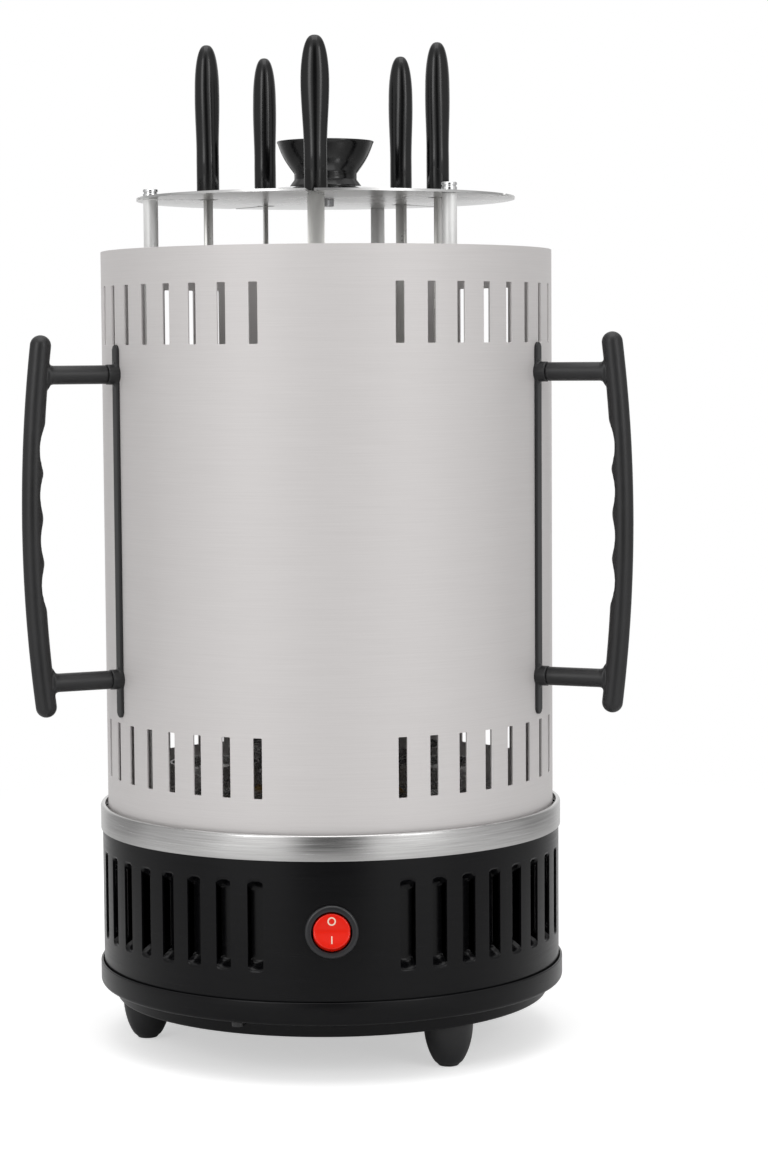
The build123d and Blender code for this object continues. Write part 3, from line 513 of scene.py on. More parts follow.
VENT_WIDTH, VENT_LENGTH, VENT_DEPTH, VENT_RAMP, VENT_LIP = 0.0066, 0.0382, 0.0044, 0.0038, 0.0024
VENT_CENTRE, VENT_AZIMUTH, VENT_PITCH, VENTS_FRONT, VENTS_BACK = 0.0648, 18.2, 8.2, 8, 3
VENT_ROUND, RAMP_STEPS = 0.97, 10


def pressed_in(across, along):
    """The strip's depth: it sinks from a round end to full depth."""
    lip = VENT_LIP * (1 - math.sqrt(1 - (VENT_ROUND * across) ** 2))
    share = min(1.0, max(0.0, (VENT_LENGTH / 2 - abs(along) - lip) / VENT_RAMP))
    return VENT_DEPTH * share * share * (3 - 2 * share)


low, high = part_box("base_wall")
WALL_SHEET, WALL_EDGE, LEDGE, FLANGE, BAND_SHEET = 0.0010, 0.0004, 0.0090, 0.0060, 0.0007
wall_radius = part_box("trim_band")[1].x - BAND_SHEET
vents = both_sides(0, VENT_AZIMUTH, VENT_PITCH, VENTS_FRONT)
vents += both_sides(180, VENT_AZIMUTH, VENT_PITCH, VENTS_BACK)
SWITCH_HEIGHT, SWITCH_HOLE = centre_of("switch_housing").z, 0.0100
INLET_HEIGHT, INLET_HOLE = centre_of("cord_inlet_bush").z, 0.0061
ramp_levels = [VENT_CENTRE + side * (VENT_LENGTH / 2 - (VENT_RAMP + VENT_LIP) * k / RAMP_STEPS)
               for side in (-1, 1) for k in range(RAMP_STEPS + 1)]
drum = rolled_sheet(
    wall_radius, low.z, high.z, [(a, VENT_CENTRE, VENT_WIDTH, VENT_LENGTH) for a in vents], press=pressed_in,
    holes=[(0.0, SWITCH_HEIGHT, SWITCH_HOLE), (math.pi, INLET_HEIGHT, INLET_HOLE)], levels=ramp_levels)
SHARP_EDGES = {"segments": 2, "limit_method": "ANGLE", "angle_limit": math.radians(60)}
piece("pressed_wall", drum, enamel, "base", ["base_wall"], worked=[
    ("SOLIDIFY", {"thickness": WALL_SHEET, "offset": -1.0}), ("BEVEL", {"width": WALL_EDGE, **SHARP_EDGES})],
    tube=(wall_radius, wall_radius - WALL_SHEET))
inner = wall_radius - WALL_SHEET
turned_in = bmesh.new()
for reach, bottom in ((LEDGE, high.z - WALL_SHEET), (FLANGE, low.z)):
    lathe(block(inner - reach, inner, bottom, bottom + WALL_SHEET), sides=256, shape=turned_in)
piece("wall_flanges", turned_in, enamel, "base")


# --- Base hardware. Zinc-plated steel screws hold the feet and the gear plate, blackened ones come up
# through the pan's shelf into the wall, and the terminal block and the cord's bush are moulded in black.
def dress(look, *names):
    """Gives CAD solids a finish."""
    for name in names:
        for slot in bpy.data.objects[name].material_slots:
            slot.material = look


zinc = moulded("zinc_plate", "zinc_steel", (0.42, 0.43, 0.44), (0.56, 0.56, 0.57), (0.28, 0.42), 900.0,
               0.00002, metallic=1.0)
dress(zinc, "foot_screws", "gear_plate_screws", "gear_plate", "motor_shaft", "knob_screw",
      "handle_screws", "gear_motor")
blackened = moulded("blackened_steel", "zinc_steel", (0.006, 0.006, 0.0065), (0.012, 0.012, 0.013),
                    (0.3, 0.42), 900.0)
dress(blackened, "base_screws")
black_plastic = moulded("black_moulding", "black_plastic", (0.014, 0.014, 0.015), (0.022, 0.022, 0.024),
                        (0.34, 0.46), 1800.0)
dress(black_plastic, "cord_inlet_bush", "terminal_block")

# --- Gear train, on the gear plate. White moulded nylon gears, brass standoffs under the tray, and brass
# bushes in it, in which the spindles turn.
nylon = moulded("nylon", "white_nylon", (0.70, 0.68, 0.62), (0.80, 0.79, 0.74), (0.35, 0.5), 1600.0)
dress(nylon, "drive_gear", *[f"station_gear_{k}" for k in range(1, 6)])
brass = moulded("turned_brass", "brass", (0.62, 0.43, 0.17), (0.74, 0.54, 0.24), (0.22, 0.35), 900.0,
                0.00002, metallic=1.0)
dress(brass, "spindle_bushes", "standoffs")

# --- Trim band. A ring of smooth brushed stainless steel, pressed on the wall's top edge, its own top
# edge rolled inwards to a bright round lip.
band_steel = lined("band_steel", "brushed_band", (0.44, 0.435, 0.43), (0.60, 0.595, 0.59), (0.20, 0.28), 700.0,
                   metallic=1.0)
low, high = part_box("trim_band")
BAND_LIP, BAND_ROLL, BAND_EDGE = 0.0973, 0.00105, 0.0002
band = [
    (wall_radius, low.z), (high.x, low.z, BAND_EDGE), (high.x, high.z, BAND_ROLL),
    (BAND_LIP, high.z, BAND_EDGE), (BAND_LIP, high.z - BAND_SHEET, BAND_EDGE),
    (wall_radius, high.z - BAND_SHEET),
]
piece("rolled_band", lathe(rounded(band, steps=5), sides=256), band_steel, "base", ["trim_band"])

# --- Drip tray and cups. Spun stainless steel: the tray is the floor of the cooking space, and a cup on
# each spindle catches the fat and holds the point of a skewer.
spun_steel = lined("spun_steel", "stainless", (0.46, 0.455, 0.45), (0.64, 0.635, 0.63), (0.20, 0.32), 500.0,
                   0.00002, metallic=1.0)
dress(spun_steel, "drip_tray", *[f"drip_cup_{k}" for k in range(1, 6)])

# --- Heater. A ceramic core wound with resistance wire stands in a ceramic socket. A second ceramic holds
# its head and hangs in the cap of a guard of stainless wires and hoops, all below the casing's top.
def skinned(shape, rings, closed=True):
    """Faces between rings of equal count, and over the first and the last."""
    for first, second in zip(rings, rings[1:]):
        for k in range(len(first)):
            after = (k + 1) % len(first)
            shape.faces.new([first[k], first[after], second[after], second[k]])
    if closed:
        shape.faces.new(rings[0])
        shape.faces.new(rings[-1])


ceramic = moulded("fired_clay", "ceramic", (0.62, 0.58, 0.50), (0.74, 0.71, 0.64), (0.55, 0.75), 1300.0,
                  0.00006, smudge=60.0)
dress(ceramic, "heater_socket")
HEATER_MARGIN, HOLDER_LENGTH, HOLDER_BORE, HOLDER_HOLE = 0.0070, 0.0240, 0.0120, 0.0060
HOLDER_FLANGE, HOLDER_HEAD, CLAY_EDGE, CLAY_ROUND = 0.0030, 0.0020, 0.0004, 0.0006
heater_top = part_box("casing")[1].z - HEATER_MARGIN
low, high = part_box("heater_core")
core_radius, core_top = (high.x - low.x) / 2, heater_top - HOLDER_LENGTH + HOLDER_BORE
core = block(0, core_radius, low.z, core_top, CLAY_EDGE)
piece("ceramic_core", lathe(rounded(core), sides=64), ceramic, "base", ["heater_core"])
low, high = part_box("heater_holder")
holder_radius, holder_bottom, head = (high.x - low.x) / 2, heater_top - HOLDER_LENGTH, heater_top - HOLDER_HEAD
flange = holder_radius + HOLDER_FLANGE
holder = [
    (core_radius, holder_bottom), (holder_radius, holder_bottom, CLAY_ROUND), (holder_radius, head),
    (flange, head, CLAY_EDGE), (flange, heater_top, CLAY_ROUND), (HOLDER_HOLE, heater_top, CLAY_EDGE),
    (HOLDER_HOLE, core_top), (core_radius, core_top),
]
piece("ceramic_head", lathe(rounded(holder), sides=64), ceramic, "base", ["heater_holder"])
GUARD_WIRE, GUARD_WIRES, CAP_SHEET, CAP_EDGE = 0.0010, 8, 0.0012, 0.0003
HOOP_WIDTH, HOOP_SHEET, HOOP_LOW, HOOP_HIGH, HOOPS = 0.0040, 0.0010, 0.0150, 0.0240, 3
low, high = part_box("heater_guard")
guard_radius, cap_top, cap_low = high.x - GUARD_WIRE, head, head - CAP_SHEET
cap_rim, wire_top = guard_radius + GUARD_WIRE, cap_top - CAP_SHEET / 2
guard = bmesh.new()
lathe(rounded(block(holder_radius, cap_rim, cap_low, cap_top, CAP_EDGE)), sides=96, shape=guard)
for turn in around(GUARD_WIRES):
    middle = (guard_radius * math.sin(turn), -guard_radius * math.cos(turn))
    lathe(block(0, GUARD_WIRE, low.z, wire_top), sides=20, shape=guard, centre=middle)
inner, outer = guard_radius - HOOP_SHEET / 2, guard_radius + HOOP_SHEET / 2
for k in range(HOOPS):
    first, last = low.z + HOOP_LOW, cap_top - HOOP_HIGH - HOOP_WIDTH
    level = first + (last - first) * k / (HOOPS - 1)
    lathe(block(inner, outer, level, level + HOOP_WIDTH), sides=96, shape=guard)
piece("wire_guard", guard, spun_steel, "base", ["heater_guard"])
wire_look = moulded("oxidised_wire", "heating_wire", (0.10, 0.085, 0.075), (0.22, 0.19, 0.17), (0.35, 0.5),
                    1500.0, 0.00002, metallic=0.9)
WIRE_RADIUS, WIRE_PITCH, TURN_STEPS, WIRE_SIDES, WINDING_MARGIN = 0.00045, 0.0023, 28, 6, 0.0120
low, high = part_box("heater_winding")
coil_radius = high.x - WIRE_RADIUS
turns = (holder_bottom - WINDING_MARGIN - low.z - 2 * WIRE_RADIUS) / WIRE_PITCH
coil = bmesh.new()
rings = []
for step in range(int(turns * TURN_STEPS) + 1):
    azimuth = 2 * math.pi * step / TURN_STEPS
    height = low.z + WIRE_RADIUS + WIRE_PITCH * step / TURN_STEPS
    ring = []
    for angle in around(WIRE_SIDES):
        reach = coil_radius + WIRE_RADIUS * math.cos(angle)
        ring.append(coil.verts.new((
            reach * math.sin(azimuth), -reach * math.cos(azimuth), height + WIRE_RADIUS * math.sin(angle))))
    rings.append(ring)
skinned(coil, rings)
piece("wound_wire", coil, wire_look, "base", ["heater_winding"], sharp=70.0)

# --- Casing. A tube rolled from brushed stainless sheet with two rows of punched slots. It stands in the
# trim band round the tray's raised middle and lifts off by its two handles.
casing_steel = lined("casing_steel", "brushed_casing", (0.585, 0.563, 0.557), (0.630, 0.608, 0.602),
                     (0.46, 0.50), 1700.0, 0.000012, metallic=0.12)
low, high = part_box("casing")
casing_radius = (high.x - low.x) / 2
SLOT_WIDTH, SLOT_LENGTH, SLOT_CORNER = 0.0037, 0.0246, 0.0004
SLOT_AZIMUTH, SLOT_BACK_AZIMUTH, SLOT_PITCH, SLOTS = 17.7, 15.6, 8.25, 8
SLOT_LOW, SLOT_HIGH, CASING_SHEET, CASING_EDGE = 0.0302, 0.0270, 0.0008, 0.0001
azimuths = both_sides(0, SLOT_AZIMUTH, SLOT_PITCH, SLOTS)
azimuths += both_sides(180, SLOT_BACK_AZIMUTH, SLOT_PITCH, SLOTS)
slots = [(a, z, SLOT_WIDTH, SLOT_LENGTH) for a in azimuths for z in (low.z + SLOT_LOW, high.z - SLOT_HIGH)]
tube = rolled_sheet(casing_radius, low.z, high.z, slots, SLOT_CORNER)
piece("slotted_casing", tube, casing_steel, "casing", ["casing"], worked=[
    ("SOLIDIFY", {"thickness": CASING_SHEET, "offset": -1.0}),
    ("BEVEL", {"width": CASING_EDGE, **SHARP_EDGES})], tube=(casing_radius, casing_radius - CASING_SHEET))

# --- Side handles. A strip with two bosses lies on the casing, and a bowed grip with four finger grooves
# stands on two arms, all moulded in charcoal plastic and held by screws from inside the casing.
handle_plastic = moulded("charcoal_plastic", "handle_black", (0.011, 0.011, 0.0115), (0.017, 0.017, 0.018),
                         (0.34, 0.44), 1500.0, specular=0.38)
HANDLE_AZIMUTH = 65.0
RAIL_WIDTH, RAIL_SHEET, RAIL_ROOT, ROUND_STEPS = 0.0056, 0.0012, 0.0006, 12
BOSS_RADIUS, BOSS_REACH, FILLET, FILLET_ROOT = 0.0042, 0.0048, 0.0020, 0.0002
ARM_HEIGHTS, ARM_RADIUS, ARM_ROOT = (0.1592, 0.2860), 0.0039, 0.0008
GRIP_RADIUS, GRIP_REACH, GRIP_BOW, GRIP_POLE = 0.0044, 0.0331, 0.0046, 0.999
GRIP_SIDES, GRIP_ENDS, GRIP_STEPS, RAIL_GRAIN, GRIP_GRAIN = 32, 8, 200, 0.00034, 0.00045
GROOVES, GROOVE_PITCH, GROOVE_LAND, GROOVE_DEPTH, GROOVE_CENTRE = 4, 0.0185, 0.0015, 0.0020, 0.2275


def outward(radius, height):
    """Takes a shape that stands on Z to one that points to the front, away from the grill's axis."""
    return Matrix.Translation((0, -radius, height)) @ Matrix.Rotation(math.pi / 2, 4, "X")


def joined_to(shape, part, place):
    """Adds one shape to another."""
    bmesh.ops.transform(part, matrix=place, verts=part.verts)
    carrier = bpy.data.meshes.new("carrier")
    part.to_mesh(carrier)
    part.free()
    shape.from_mesh(carrier)
    bpy.data.meshes.remove(carrier)


def closed_across(shape, ring):
    """Closes a ring with faces that run straight across it."""
    count = len(ring)
    for k in range(count // 2 - 1):
        corners = [ring[k], ring[k + 1], ring[count - 2 - k], ring[count - 1 - k]]
        shape.faces.new(list(dict.fromkeys(corners)))


def rail_shape(bottom, top):
    """The strip, long and narrow with round ends, and its two bosses with a fillet along the strip."""
    shape = bmesh.new()
    half = RAIL_WIDTH / 2
    outline = []
    for end, level in ((1, top - half), (-1, bottom + half)):
        for step in range(ROUND_STEPS + 1):
            angle = math.pi * step / ROUND_STEPS
            outline.append((end * half * math.cos(angle), level + end * half * math.sin(angle)))
    skins = []
    for depth in (-RAIL_ROOT, RAIL_SHEET):
        reach = casing_radius + depth
        skins.append([shape.verts.new((x, -math.sqrt(reach ** 2 - x ** 2), z)) for x, z in outline])
    skinned(shape, skins, closed=False)
    for ring in skins:
        closed_across(shape, ring)
    for height in ARM_HEIGHTS:
        boss = block(0, BOSS_RADIUS, -RAIL_ROOT, BOSS_REACH)
        joined_to(shape, lathe(boss, sides=48), outward(casing_radius, height))
        flare = [(0, 0), (BOSS_RADIUS + FILLET, 0)]
        flare += [(BOSS_RADIUS - FILLET_ROOT + FILLET * (1 - math.sin(angle)),
                   RAIL_SHEET - FILLET_ROOT + FILLET * (1 - math.cos(angle))) for angle in quarter(6)]
        flare.append((0, flare[-1][1]))
        fillet = lathe(flare, sides=48)
        for vertex in fillet.verts:
            vertex.co.x *= half / (BOSS_RADIUS + FILLET)
        joined_to(shape, fillet, outward(casing_radius, height))
    return shape


def grip_shape(bottom, top):
    """The bowed bar, its inner side scooped for four fingers, and the arms that run into it."""
    shape = bmesh.new()
    reach = casing_radius + GRIP_REACH
    middle, half = (top + bottom) / 2, (top - bottom) / 2 - GRIP_RADIUS
    chord = (GROOVE_PITCH - GROOVE_LAND) / 2
    scoop = (chord ** 2 + GROOVE_DEPTH ** 2) / (2 * GROOVE_DEPTH)
    inner_side = reach + GRIP_BOW - GRIP_RADIUS
    rings = []
    levels = [-half - GRIP_RADIUS * math.cos(angle) * GRIP_POLE for angle in quarter(GRIP_ENDS)[:-1]]
    levels += [-half + 2 * half * k / GRIP_STEPS for k in range(GRIP_STEPS + 1)]
    levels += [half + GRIP_RADIUS * math.sin(angle) * GRIP_POLE for angle in quarter(GRIP_ENDS)[1:]]
    for level in levels:
        past_end = max(0.0, abs(level) - half)
        thick = math.sqrt(max(0.0, GRIP_RADIUS ** 2 - past_end ** 2))
        bow = GRIP_BOW * (1 - min(1.0, abs(level) / half) ** 2)
        limit = -1.0
        for k in range(GROOVES):
            height = GROOVE_CENTRE + GROOVE_PITCH * (k - (GROOVES - 1) / 2) - middle
            if abs(level - height) < scoop:
                rise = math.sqrt(scoop ** 2 - (level - height) ** 2)
                limit = max(limit, inner_side + GROOVE_DEPTH - scoop + rise)
        ring = []
        for angle in around(GRIP_SIDES):
            out = max(reach + bow + thick * math.cos(angle), limit)
            ring.append(shape.verts.new((thick * math.sin(angle), -out, middle + level)))
        rings.append(ring)
    skinned(shape, rings)
    for height in ARM_HEIGHTS:
        bow = GRIP_BOW * (1 - min(1.0, abs(height - middle) / half) ** 2)
        start, end = BOSS_REACH, GRIP_REACH + bow
        flare = [(0, start), (ARM_RADIUS, start)]
        flare += [(ARM_RADIUS + FILLET * (1 - math.cos(angle)),
                   end - GRIP_RADIUS - FILLET * (1 - math.sin(angle))) for angle in quarter(6)]
        flare += [(ARM_RADIUS + FILLET, end - GRIP_RADIUS + ARM_ROOT), (0, end)]
        arm = lathe(flare, sides=48)
        for vertex in arm.verts:
            across = math.hypot(vertex.co.x, vertex.co.y)
            if across > ARM_RADIUS:
                vertex.co.x *= ARM_RADIUS / across
        joined_to(shape, arm, outward(casing_radius, height))
    return shape


for side, name in ((-1, "left"), (1, "right")):
    swing = Matrix.Rotation(math.radians(side * HANDLE_AZIMUTH), 4, "Z")
    low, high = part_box(f"handle_rail_{name}")
    strip = rail_shape(low.z, high.z)
    piece(f"handle_strip_{name}", strip, handle_plastic, "casing", [f"handle_rail_{name}"], swing, sharp=60.0,
          worked=[("REMESH", {"mode": "VOXEL", "voxel_size": RAIL_GRAIN}),
                  ("SMOOTH", {"factor": 0.5, "iterations": 3})])
    low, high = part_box(f"handle_grip_{name}")
    bar = grip_shape(low.z, high.z)
    piece(f"handle_bar_{name}", bar, handle_plastic, "casing", [f"handle_grip_{name}"], swing, sharp=60.0,
          worked=[("REMESH", {"mode": "VOXEL", "voxel_size": GRIP_GRAIN}),
                  ("SMOOTH", {"factor": 0.5, "iterations": 4})])

# --- Posts. Three pale satin steel rods stand on the tray and carry the top plate, with a ringed chrome nut
# on each above the plate.
rod_steel = moulded("rod_steel", "stainless", (0.84, 0.84, 0.83), (0.90, 0.90, 0.89), (0.38, 0.44), 700.0,
                    0.000004, metallic=0.15)
chrome = moulded("chrome_plate", "chrome", (0.72, 0.725, 0.73), (0.80, 0.80, 0.80), (0.05, 0.10), 700.0,
                 0.000004, metallic=1.0)
plate_low, plate_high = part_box("top_plate")
tray_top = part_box("drip_tray")[1].z
POST_RADIUS, SPIGOT_RADIUS, ROD_EDGE = 0.0031, 0.0020, 0.0003
NUT_RADIUS, NUT_HEIGHT, NUT_RING, NUT_EDGE, NUT_CROWN = 0.0032, 0.0034, 0.0004, 0.0003, 0.0005
GROOVE_LEVELS, GROOVE_EDGE = (0.0014, 0.0016, 0.0020, 0.0022), 0.0001
nuts = bmesh.new()
for number in (1, 2, 3):
    low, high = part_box(f"post_{number}")
    middle = centre_of(f"post_{number}")
    rod = rounded([
        (0, low.z), (SPIGOT_RADIUS, low.z, ROD_EDGE), (SPIGOT_RADIUS, tray_top),
        (POST_RADIUS, tray_top, ROD_EDGE), (POST_RADIUS, plate_low.z, ROD_EDGE),
        (SPIGOT_RADIUS, plate_low.z), (SPIGOT_RADIUS, high.z, ROD_EDGE), (0, high.z)])
    stand = Matrix.Translation((middle.x, middle.y, 0.0))
    piece(f"post_{number}_rod", lathe(rod, sides=48), rod_steel, "base", [f"post_{number}"], stand)
    top, waist = plate_high.z, NUT_RADIUS - NUT_RING
    below, start, end, above = (top + level for level in GROOVE_LEVELS)
    nut = rounded([
        (SPIGOT_RADIUS, top), (NUT_RADIUS, top, NUT_EDGE), (NUT_RADIUS, below, NUT_EDGE),
        (waist, start, GROOVE_EDGE), (waist, end, GROOVE_EDGE), (NUT_RADIUS, above, NUT_EDGE),
        (NUT_RADIUS, top + NUT_HEIGHT, NUT_CROWN), (SPIGOT_RADIUS, top + NUT_HEIGHT)], steps=3)
    lathe(nut, sides=48, shape=nuts, centre=(middle.x, middle.y))
piece("ringed_nuts", nuts, chrome, "base", ["post_nuts"])

# --- Top plate, dome and knob. The plate is a steel disc with a hole and a slot for each skewer. A chrome
# dome stands on it, and on that a glossy black moulded knob, flared like a mushroom.
plate_steel = moulded("plate_steel", "stainless", (0.62, 0.62, 0.615), (0.66, 0.66, 0.655), (0.26, 0.30),
                      900.0, 0.000003, metallic=0.9)
dress(plate_steel, "top_plate")
low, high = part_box("top_dome")
DOME_SHEET, DOME_FLAT, DOME_SIDE, DOME_CROWN, DOME_STEPS = 0.0008, 0.0160, 0.9, 1.15, 16
dome_radius, dome_rise = (high.x - low.x) / 2, high.z - low.z
crown = []
for step in range(DOME_STEPS + 1):
    angle = step / DOME_STEPS * math.pi / 2
    reach = DOME_FLAT + (dome_radius - DOME_FLAT) * math.cos(angle) ** DOME_SIDE
    crown.append((reach, low.z + dome_rise * math.sin(angle) ** DOME_CROWN))
inside = [(reach - DOME_SHEET * (1 - k / DOME_STEPS), max(low.z, height - DOME_SHEET))
          for k, (reach, height) in enumerate(crown)]
dome = [*crown, (0, high.z), (0, high.z - DOME_SHEET), *reversed(inside)]
piece("spun_dome", lathe(dome, sides=160), chrome, "base", ["top_dome"])
gloss = moulded("gloss_moulding", "black_gloss", (0.0018, 0.0018, 0.002), (0.0032, 0.0032, 0.0035),
                (0.15, 0.21), 900.0, 0.000003, specular=0.40)
low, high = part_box("top_knob")
KNOB_FOOT, KNOB_NECK, KNOB_FOOT_HEIGHT, KNOB_NECK_HEIGHT = 0.0152, 0.0133, 0.0032, 0.0025
KNOB_LIP, KNOB_CROWN, KNOB_SWELL, KNOB_EDGE = 0.0009, 0.0011, 0.0008, 0.0002
FOOT_RIM, NECK_ROUND, LIP_STEP, LIP_RISE, LIP_EDGE = 0.0006, 0.0008, 0.0003, 0.0004, 0.0001
TOP_SHARE, TOP_DROP, BOWL_STEPS, TOP_STEPS = 0.97, 0.0001, 12, 8
knob_rim, knob_edge = (high.x - low.x) / 2, high.z - KNOB_CROWN
bowl = low.z + KNOB_FOOT_HEIGHT + KNOB_NECK_HEIGHT
knob = [(0, low.z), (KNOB_FOOT, low.z, KNOB_EDGE), (KNOB_FOOT, low.z + FOOT_RIM, KNOB_EDGE),
        (KNOB_NECK, low.z + KNOB_FOOT_HEIGHT, NECK_ROUND)]
for step in range(BOWL_STEPS + 1):
    share = step / BOWL_STEPS
    reach = KNOB_NECK + (knob_rim - LIP_STEP - KNOB_NECK) * share + KNOB_SWELL * math.sin(share * math.pi)
    knob.append((reach, bowl + (knob_edge - KNOB_LIP - bowl) * share))
knob += [(knob_rim, knob_edge - KNOB_LIP + LIP_RISE, LIP_EDGE), (knob_rim, knob_edge, KNOB_EDGE)]
for step in range(TOP_STEPS + 1):
    share = 1 - step / TOP_STEPS
    knob.append((knob_rim * TOP_SHARE * share, high.z - (KNOB_CROWN - TOP_DROP) * share ** 2))
piece("turned_knob", lathe(rounded(knob), sides=128), gloss, "base", ["top_knob"])

# --- Skewers. A flat stainless blade with a point, its tang pressed into a glossy black handle that is
# round at the foot, wider and oval towards a rounded end.
blade_steel = moulded("blade_steel", "stainless", (0.62, 0.615, 0.59), (0.76, 0.755, 0.73), (0.24, 0.36),
                      600.0, 0.00001, metallic=0.5)
HANDLE_TURNS = (0.0, 72.0, 118.0, -84.0, -108.0)
HANDLE_FOOT, HANDLE_WIDE, HANDLE_DEEP = 0.00475, 0.0059, 0.00505
BELLY_START, BELLY, HANDLE_EDGE, CLOSING, BELLY_STEPS, END_STEPS = 0.25, 0.70, 0.0003, 0.72, 24, 32
BLADE_WIDTH, BLADE_SHEET, BLADE_POINT, BLADE_TIP = 0.0070, 0.0018, 0.0110, 0.0004
BLADE_EDGE, TANG = 0.0003, 0.004
for number, turned_by in enumerate(HANDLE_TURNS, 1):
    low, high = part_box(f"skewer_handle_{number}")
    middle = centre_of(f"skewer_handle_{number}")
    tall = high.z - low.z
    outline = [(0, 0), (HANDLE_FOOT - HANDLE_EDGE, 0), (HANDLE_FOOT, HANDLE_EDGE)]
    for step in range(BELLY_STEPS + 1):
        share = BELLY_START + (BELLY - BELLY_START) * step / BELLY_STEPS
        rise = step / BELLY_STEPS
        outline.append((HANDLE_FOOT + (HANDLE_WIDE - HANDLE_FOOT) * rise ** 2 * (3 - 2 * rise), share * tall))
    outline += [(HANDLE_WIDE * math.cos(angle) ** CLOSING, (BELLY + (1 - BELLY) * math.sin(angle)) * tall)
                for angle in quarter(END_STEPS)[1:-1]]
    outline.append((0, tall))
    grip = lathe(outline, sides=48)
    for vertex in grip.verts:
        share = min(1.0, max(0.0, (vertex.co.z / tall - BELLY_START) / (BELLY - BELLY_START)))
        vertex.co.y *= 1 + (HANDLE_DEEP / HANDLE_WIDE - 1) * share
    stand = Matrix.Translation((middle.x, middle.y, low.z)) @ Matrix.Rotation(math.radians(turned_by), 4, "Z")
    piece(f"skewer_{number}_handle", grip, gloss, f"skewer_{number}", [f"skewer_handle_{number}"], stand,
          sharp=50.0)
    point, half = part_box(f"skewer_blade_{number}")[0].z - low.z, BLADE_WIDTH / 2
    flat = [(-BLADE_TIP, point), (BLADE_TIP, point), (half, point + BLADE_POINT), (half, TANG), (-half, TANG),
            (-half, point + BLADE_POINT)]
    strip = bmesh.new()
    skinned(strip, [[strip.verts.new((x, y, z)) for x, z in flat] for y in (-BLADE_SHEET / 2, BLADE_SHEET / 2)])
    piece(f"skewer_{number}_blade", strip, blade_steel, f"skewer_{number}", [f"skewer_blade_{number}"], stand,
          worked=[("BEVEL", {"width": BLADE_EDGE, **SHARP_EDGES})])

# --- Rocker switch. A round black housing snaps into the wall behind a broad bezel. The red rocker, flat
# at both sides, tips in it, and its off and on marks are printed in cream.
low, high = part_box("switch_housing")
face = -low.y
BEZEL_PROUD, BEZEL_ROUND, BODY_RADIUS, POCKET, POCKET_DEPTH = 0.0018, 0.0012, 0.0099, 0.0082, 0.0095
BEZEL_BACK, BODY_EDGE = 0.0001, 0.0005
bezel_radius, body_depth = (high.x - low.x) / 2, high.y - low.y
bezel = rounded([
    (BODY_RADIUS, -BEZEL_PROUD), (bezel_radius, -BEZEL_PROUD, BEZEL_BACK), (bezel_radius, 0, BEZEL_ROUND),
    (POCKET, 0, BODY_EDGE), (POCKET, -POCKET_DEPTH), (0, -POCKET_DEPTH), (0, -body_depth),
    (BODY_RADIUS, -body_depth, BODY_EDGE)], steps=6)
bezel_plastic = moulded("bezel_plastic", "black_plastic", (0.009, 0.009, 0.0105), (0.013, 0.013, 0.015),
                        (0.28, 0.36), 1800.0)
stand = outward(face, SWITCH_HEIGHT)
piece("switch_bezel", lathe(bezel, sides=96), bezel_plastic, "base", ["switch_housing"], stand)
red = moulded("red_plastic", "red_rocker", (0.74, 0.011, 0.002), (0.82, 0.015, 0.003), (0.16, 0.22), 1600.0,
              0.000003, specular=0.32)
ROCKER_RADIUS, ROCKER_HALF, ROCKER_DEPTH, ROCKER_WING = 0.0079, 0.00745, 0.0020, math.radians(12.0)
ROCKER_EDGE, ROCKER_STEPS, VALLEY_ROUND = 0.0007, 64, 0.0005
# Rings at the back by their depth, and rings over the front edge by their shares of it, in and back.
BACK_DEPTHS = (0.0045, 0.0020, 0.0)
FRONT_RINGS = ((0.02, 1.0), (0.12, 0.5), (0.45, 0.12), (1.0, 0.0), (4.0, 0.0), (8.0, 0.0))
slope = math.tan(ROCKER_WING)


def wing(z):
    """Where the rocker's front face is at a height: two wings with a rounded valley."""
    return -ROCKER_DEPTH - (math.sqrt(z * z + VALLEY_ROUND ** 2) - VALLEY_ROUND) * slope


def front_reach(cosine):
    """How far from the middle the front face meets the rocker's round side, in a direction."""
    steep = abs(cosine) * slope
    square = (ROCKER_DEPTH * steep) ** 2 + (1 + steep ** 2) * (ROCKER_RADIUS ** 2 - ROCKER_DEPTH ** 2)
    return (-ROCKER_DEPTH * steep + math.sqrt(square)) / (1 + steep ** 2)


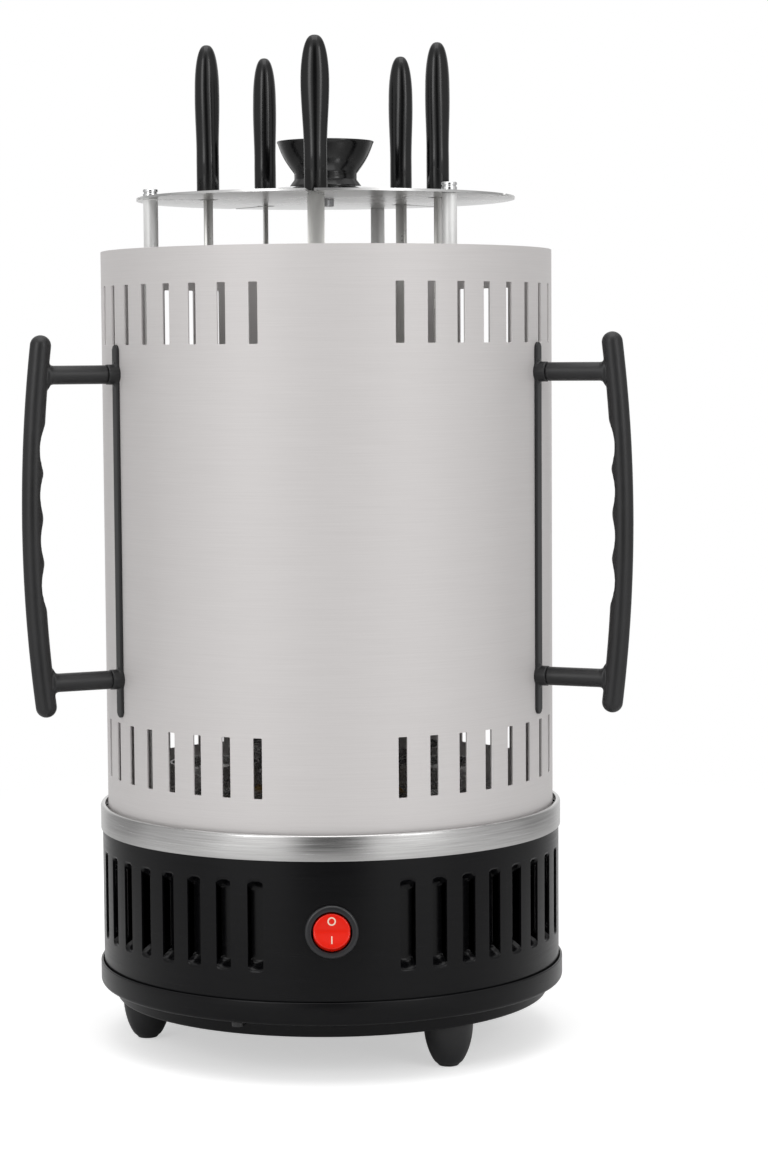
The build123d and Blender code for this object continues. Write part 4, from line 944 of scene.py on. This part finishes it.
rocker = bmesh.new()
turns = [2 * math.pi * (k + 0.5) / ROCKER_STEPS for k in range(ROCKER_STEPS)]
rings = []
for depth in BACK_DEPTHS:
    reach = math.sqrt(ROCKER_RADIUS ** 2 - depth ** 2)
    rings.append([rocker.verts.new((
        max(-ROCKER_HALF, min(ROCKER_HALF, reach * math.sin(a))), depth, reach * math.cos(a))) for a in turns])
for inset, back in FRONT_RINGS:
    ring, half = [], ROCKER_HALF - inset * ROCKER_EDGE
    for angle in turns:
        reach = front_reach(math.cos(angle)) - inset * ROCKER_EDGE
        x, z = max(-half, min(half, reach * math.sin(angle))), reach * math.cos(angle)
        ring.append(rocker.verts.new((x, wing(z) + back * ROCKER_EDGE, z)))
    rings.append(ring)
skinned(rocker, rings, closed=False)
rocker.faces.new(rings[0])
closed_across(rocker, rings[-1])
tipped = Matrix.Translation((0, -(face - ROCKER_DEPTH), SWITCH_HEIGHT)) @ Matrix.Rotation(-ROCKER_WING, 4, "X")
piece("rocker_cap", rocker, red, "rocker", ["switch_rocker"], tipped, sharp=50.0)
print_look = moulded("cream_print", "red_rocker", (0.80, 0.62, 0.48), (0.90, 0.74, 0.60), (0.3, 0.4), 1600.0,
                     0.000004)
PRINT_RISE, PRINT_LINE, PRINT_SHEET = 0.00004, 0.00055, 0.00008
RING_RADIUS, RING_HEIGHT, RING_STEPS = 0.0017, 0.0040, 32
BAR_WIDTH, BAR_LENGTH, BAR_HEIGHT = 0.0005, 0.0031, -0.0034
marks = bmesh.new()


def printed(points):
    """Points on the rocker's face, raised by the ink's height."""
    return [marks.verts.new((x, wing(z) - PRINT_RISE, z)) for x, z in points]


skinned(marks, [
    printed([(reach * math.sin(a), RING_HEIGHT + reach * math.cos(a)) for a in around(RING_STEPS)])
    for reach in (RING_RADIUS - PRINT_LINE, RING_RADIUS)], closed=False)
half, bottom, top = BAR_WIDTH / 2, BAR_HEIGHT - BAR_LENGTH / 2, BAR_HEIGHT + BAR_LENGTH / 2
marks.faces.new(printed([(-half, bottom), (half, bottom), (half, top), (-half, top)]))
piece("rocker_print", marks, print_look, "rocker", place=tipped, worked=[
    ("SOLIDIFY", {"thickness": PRINT_SHEET, "offset": 0.0})])
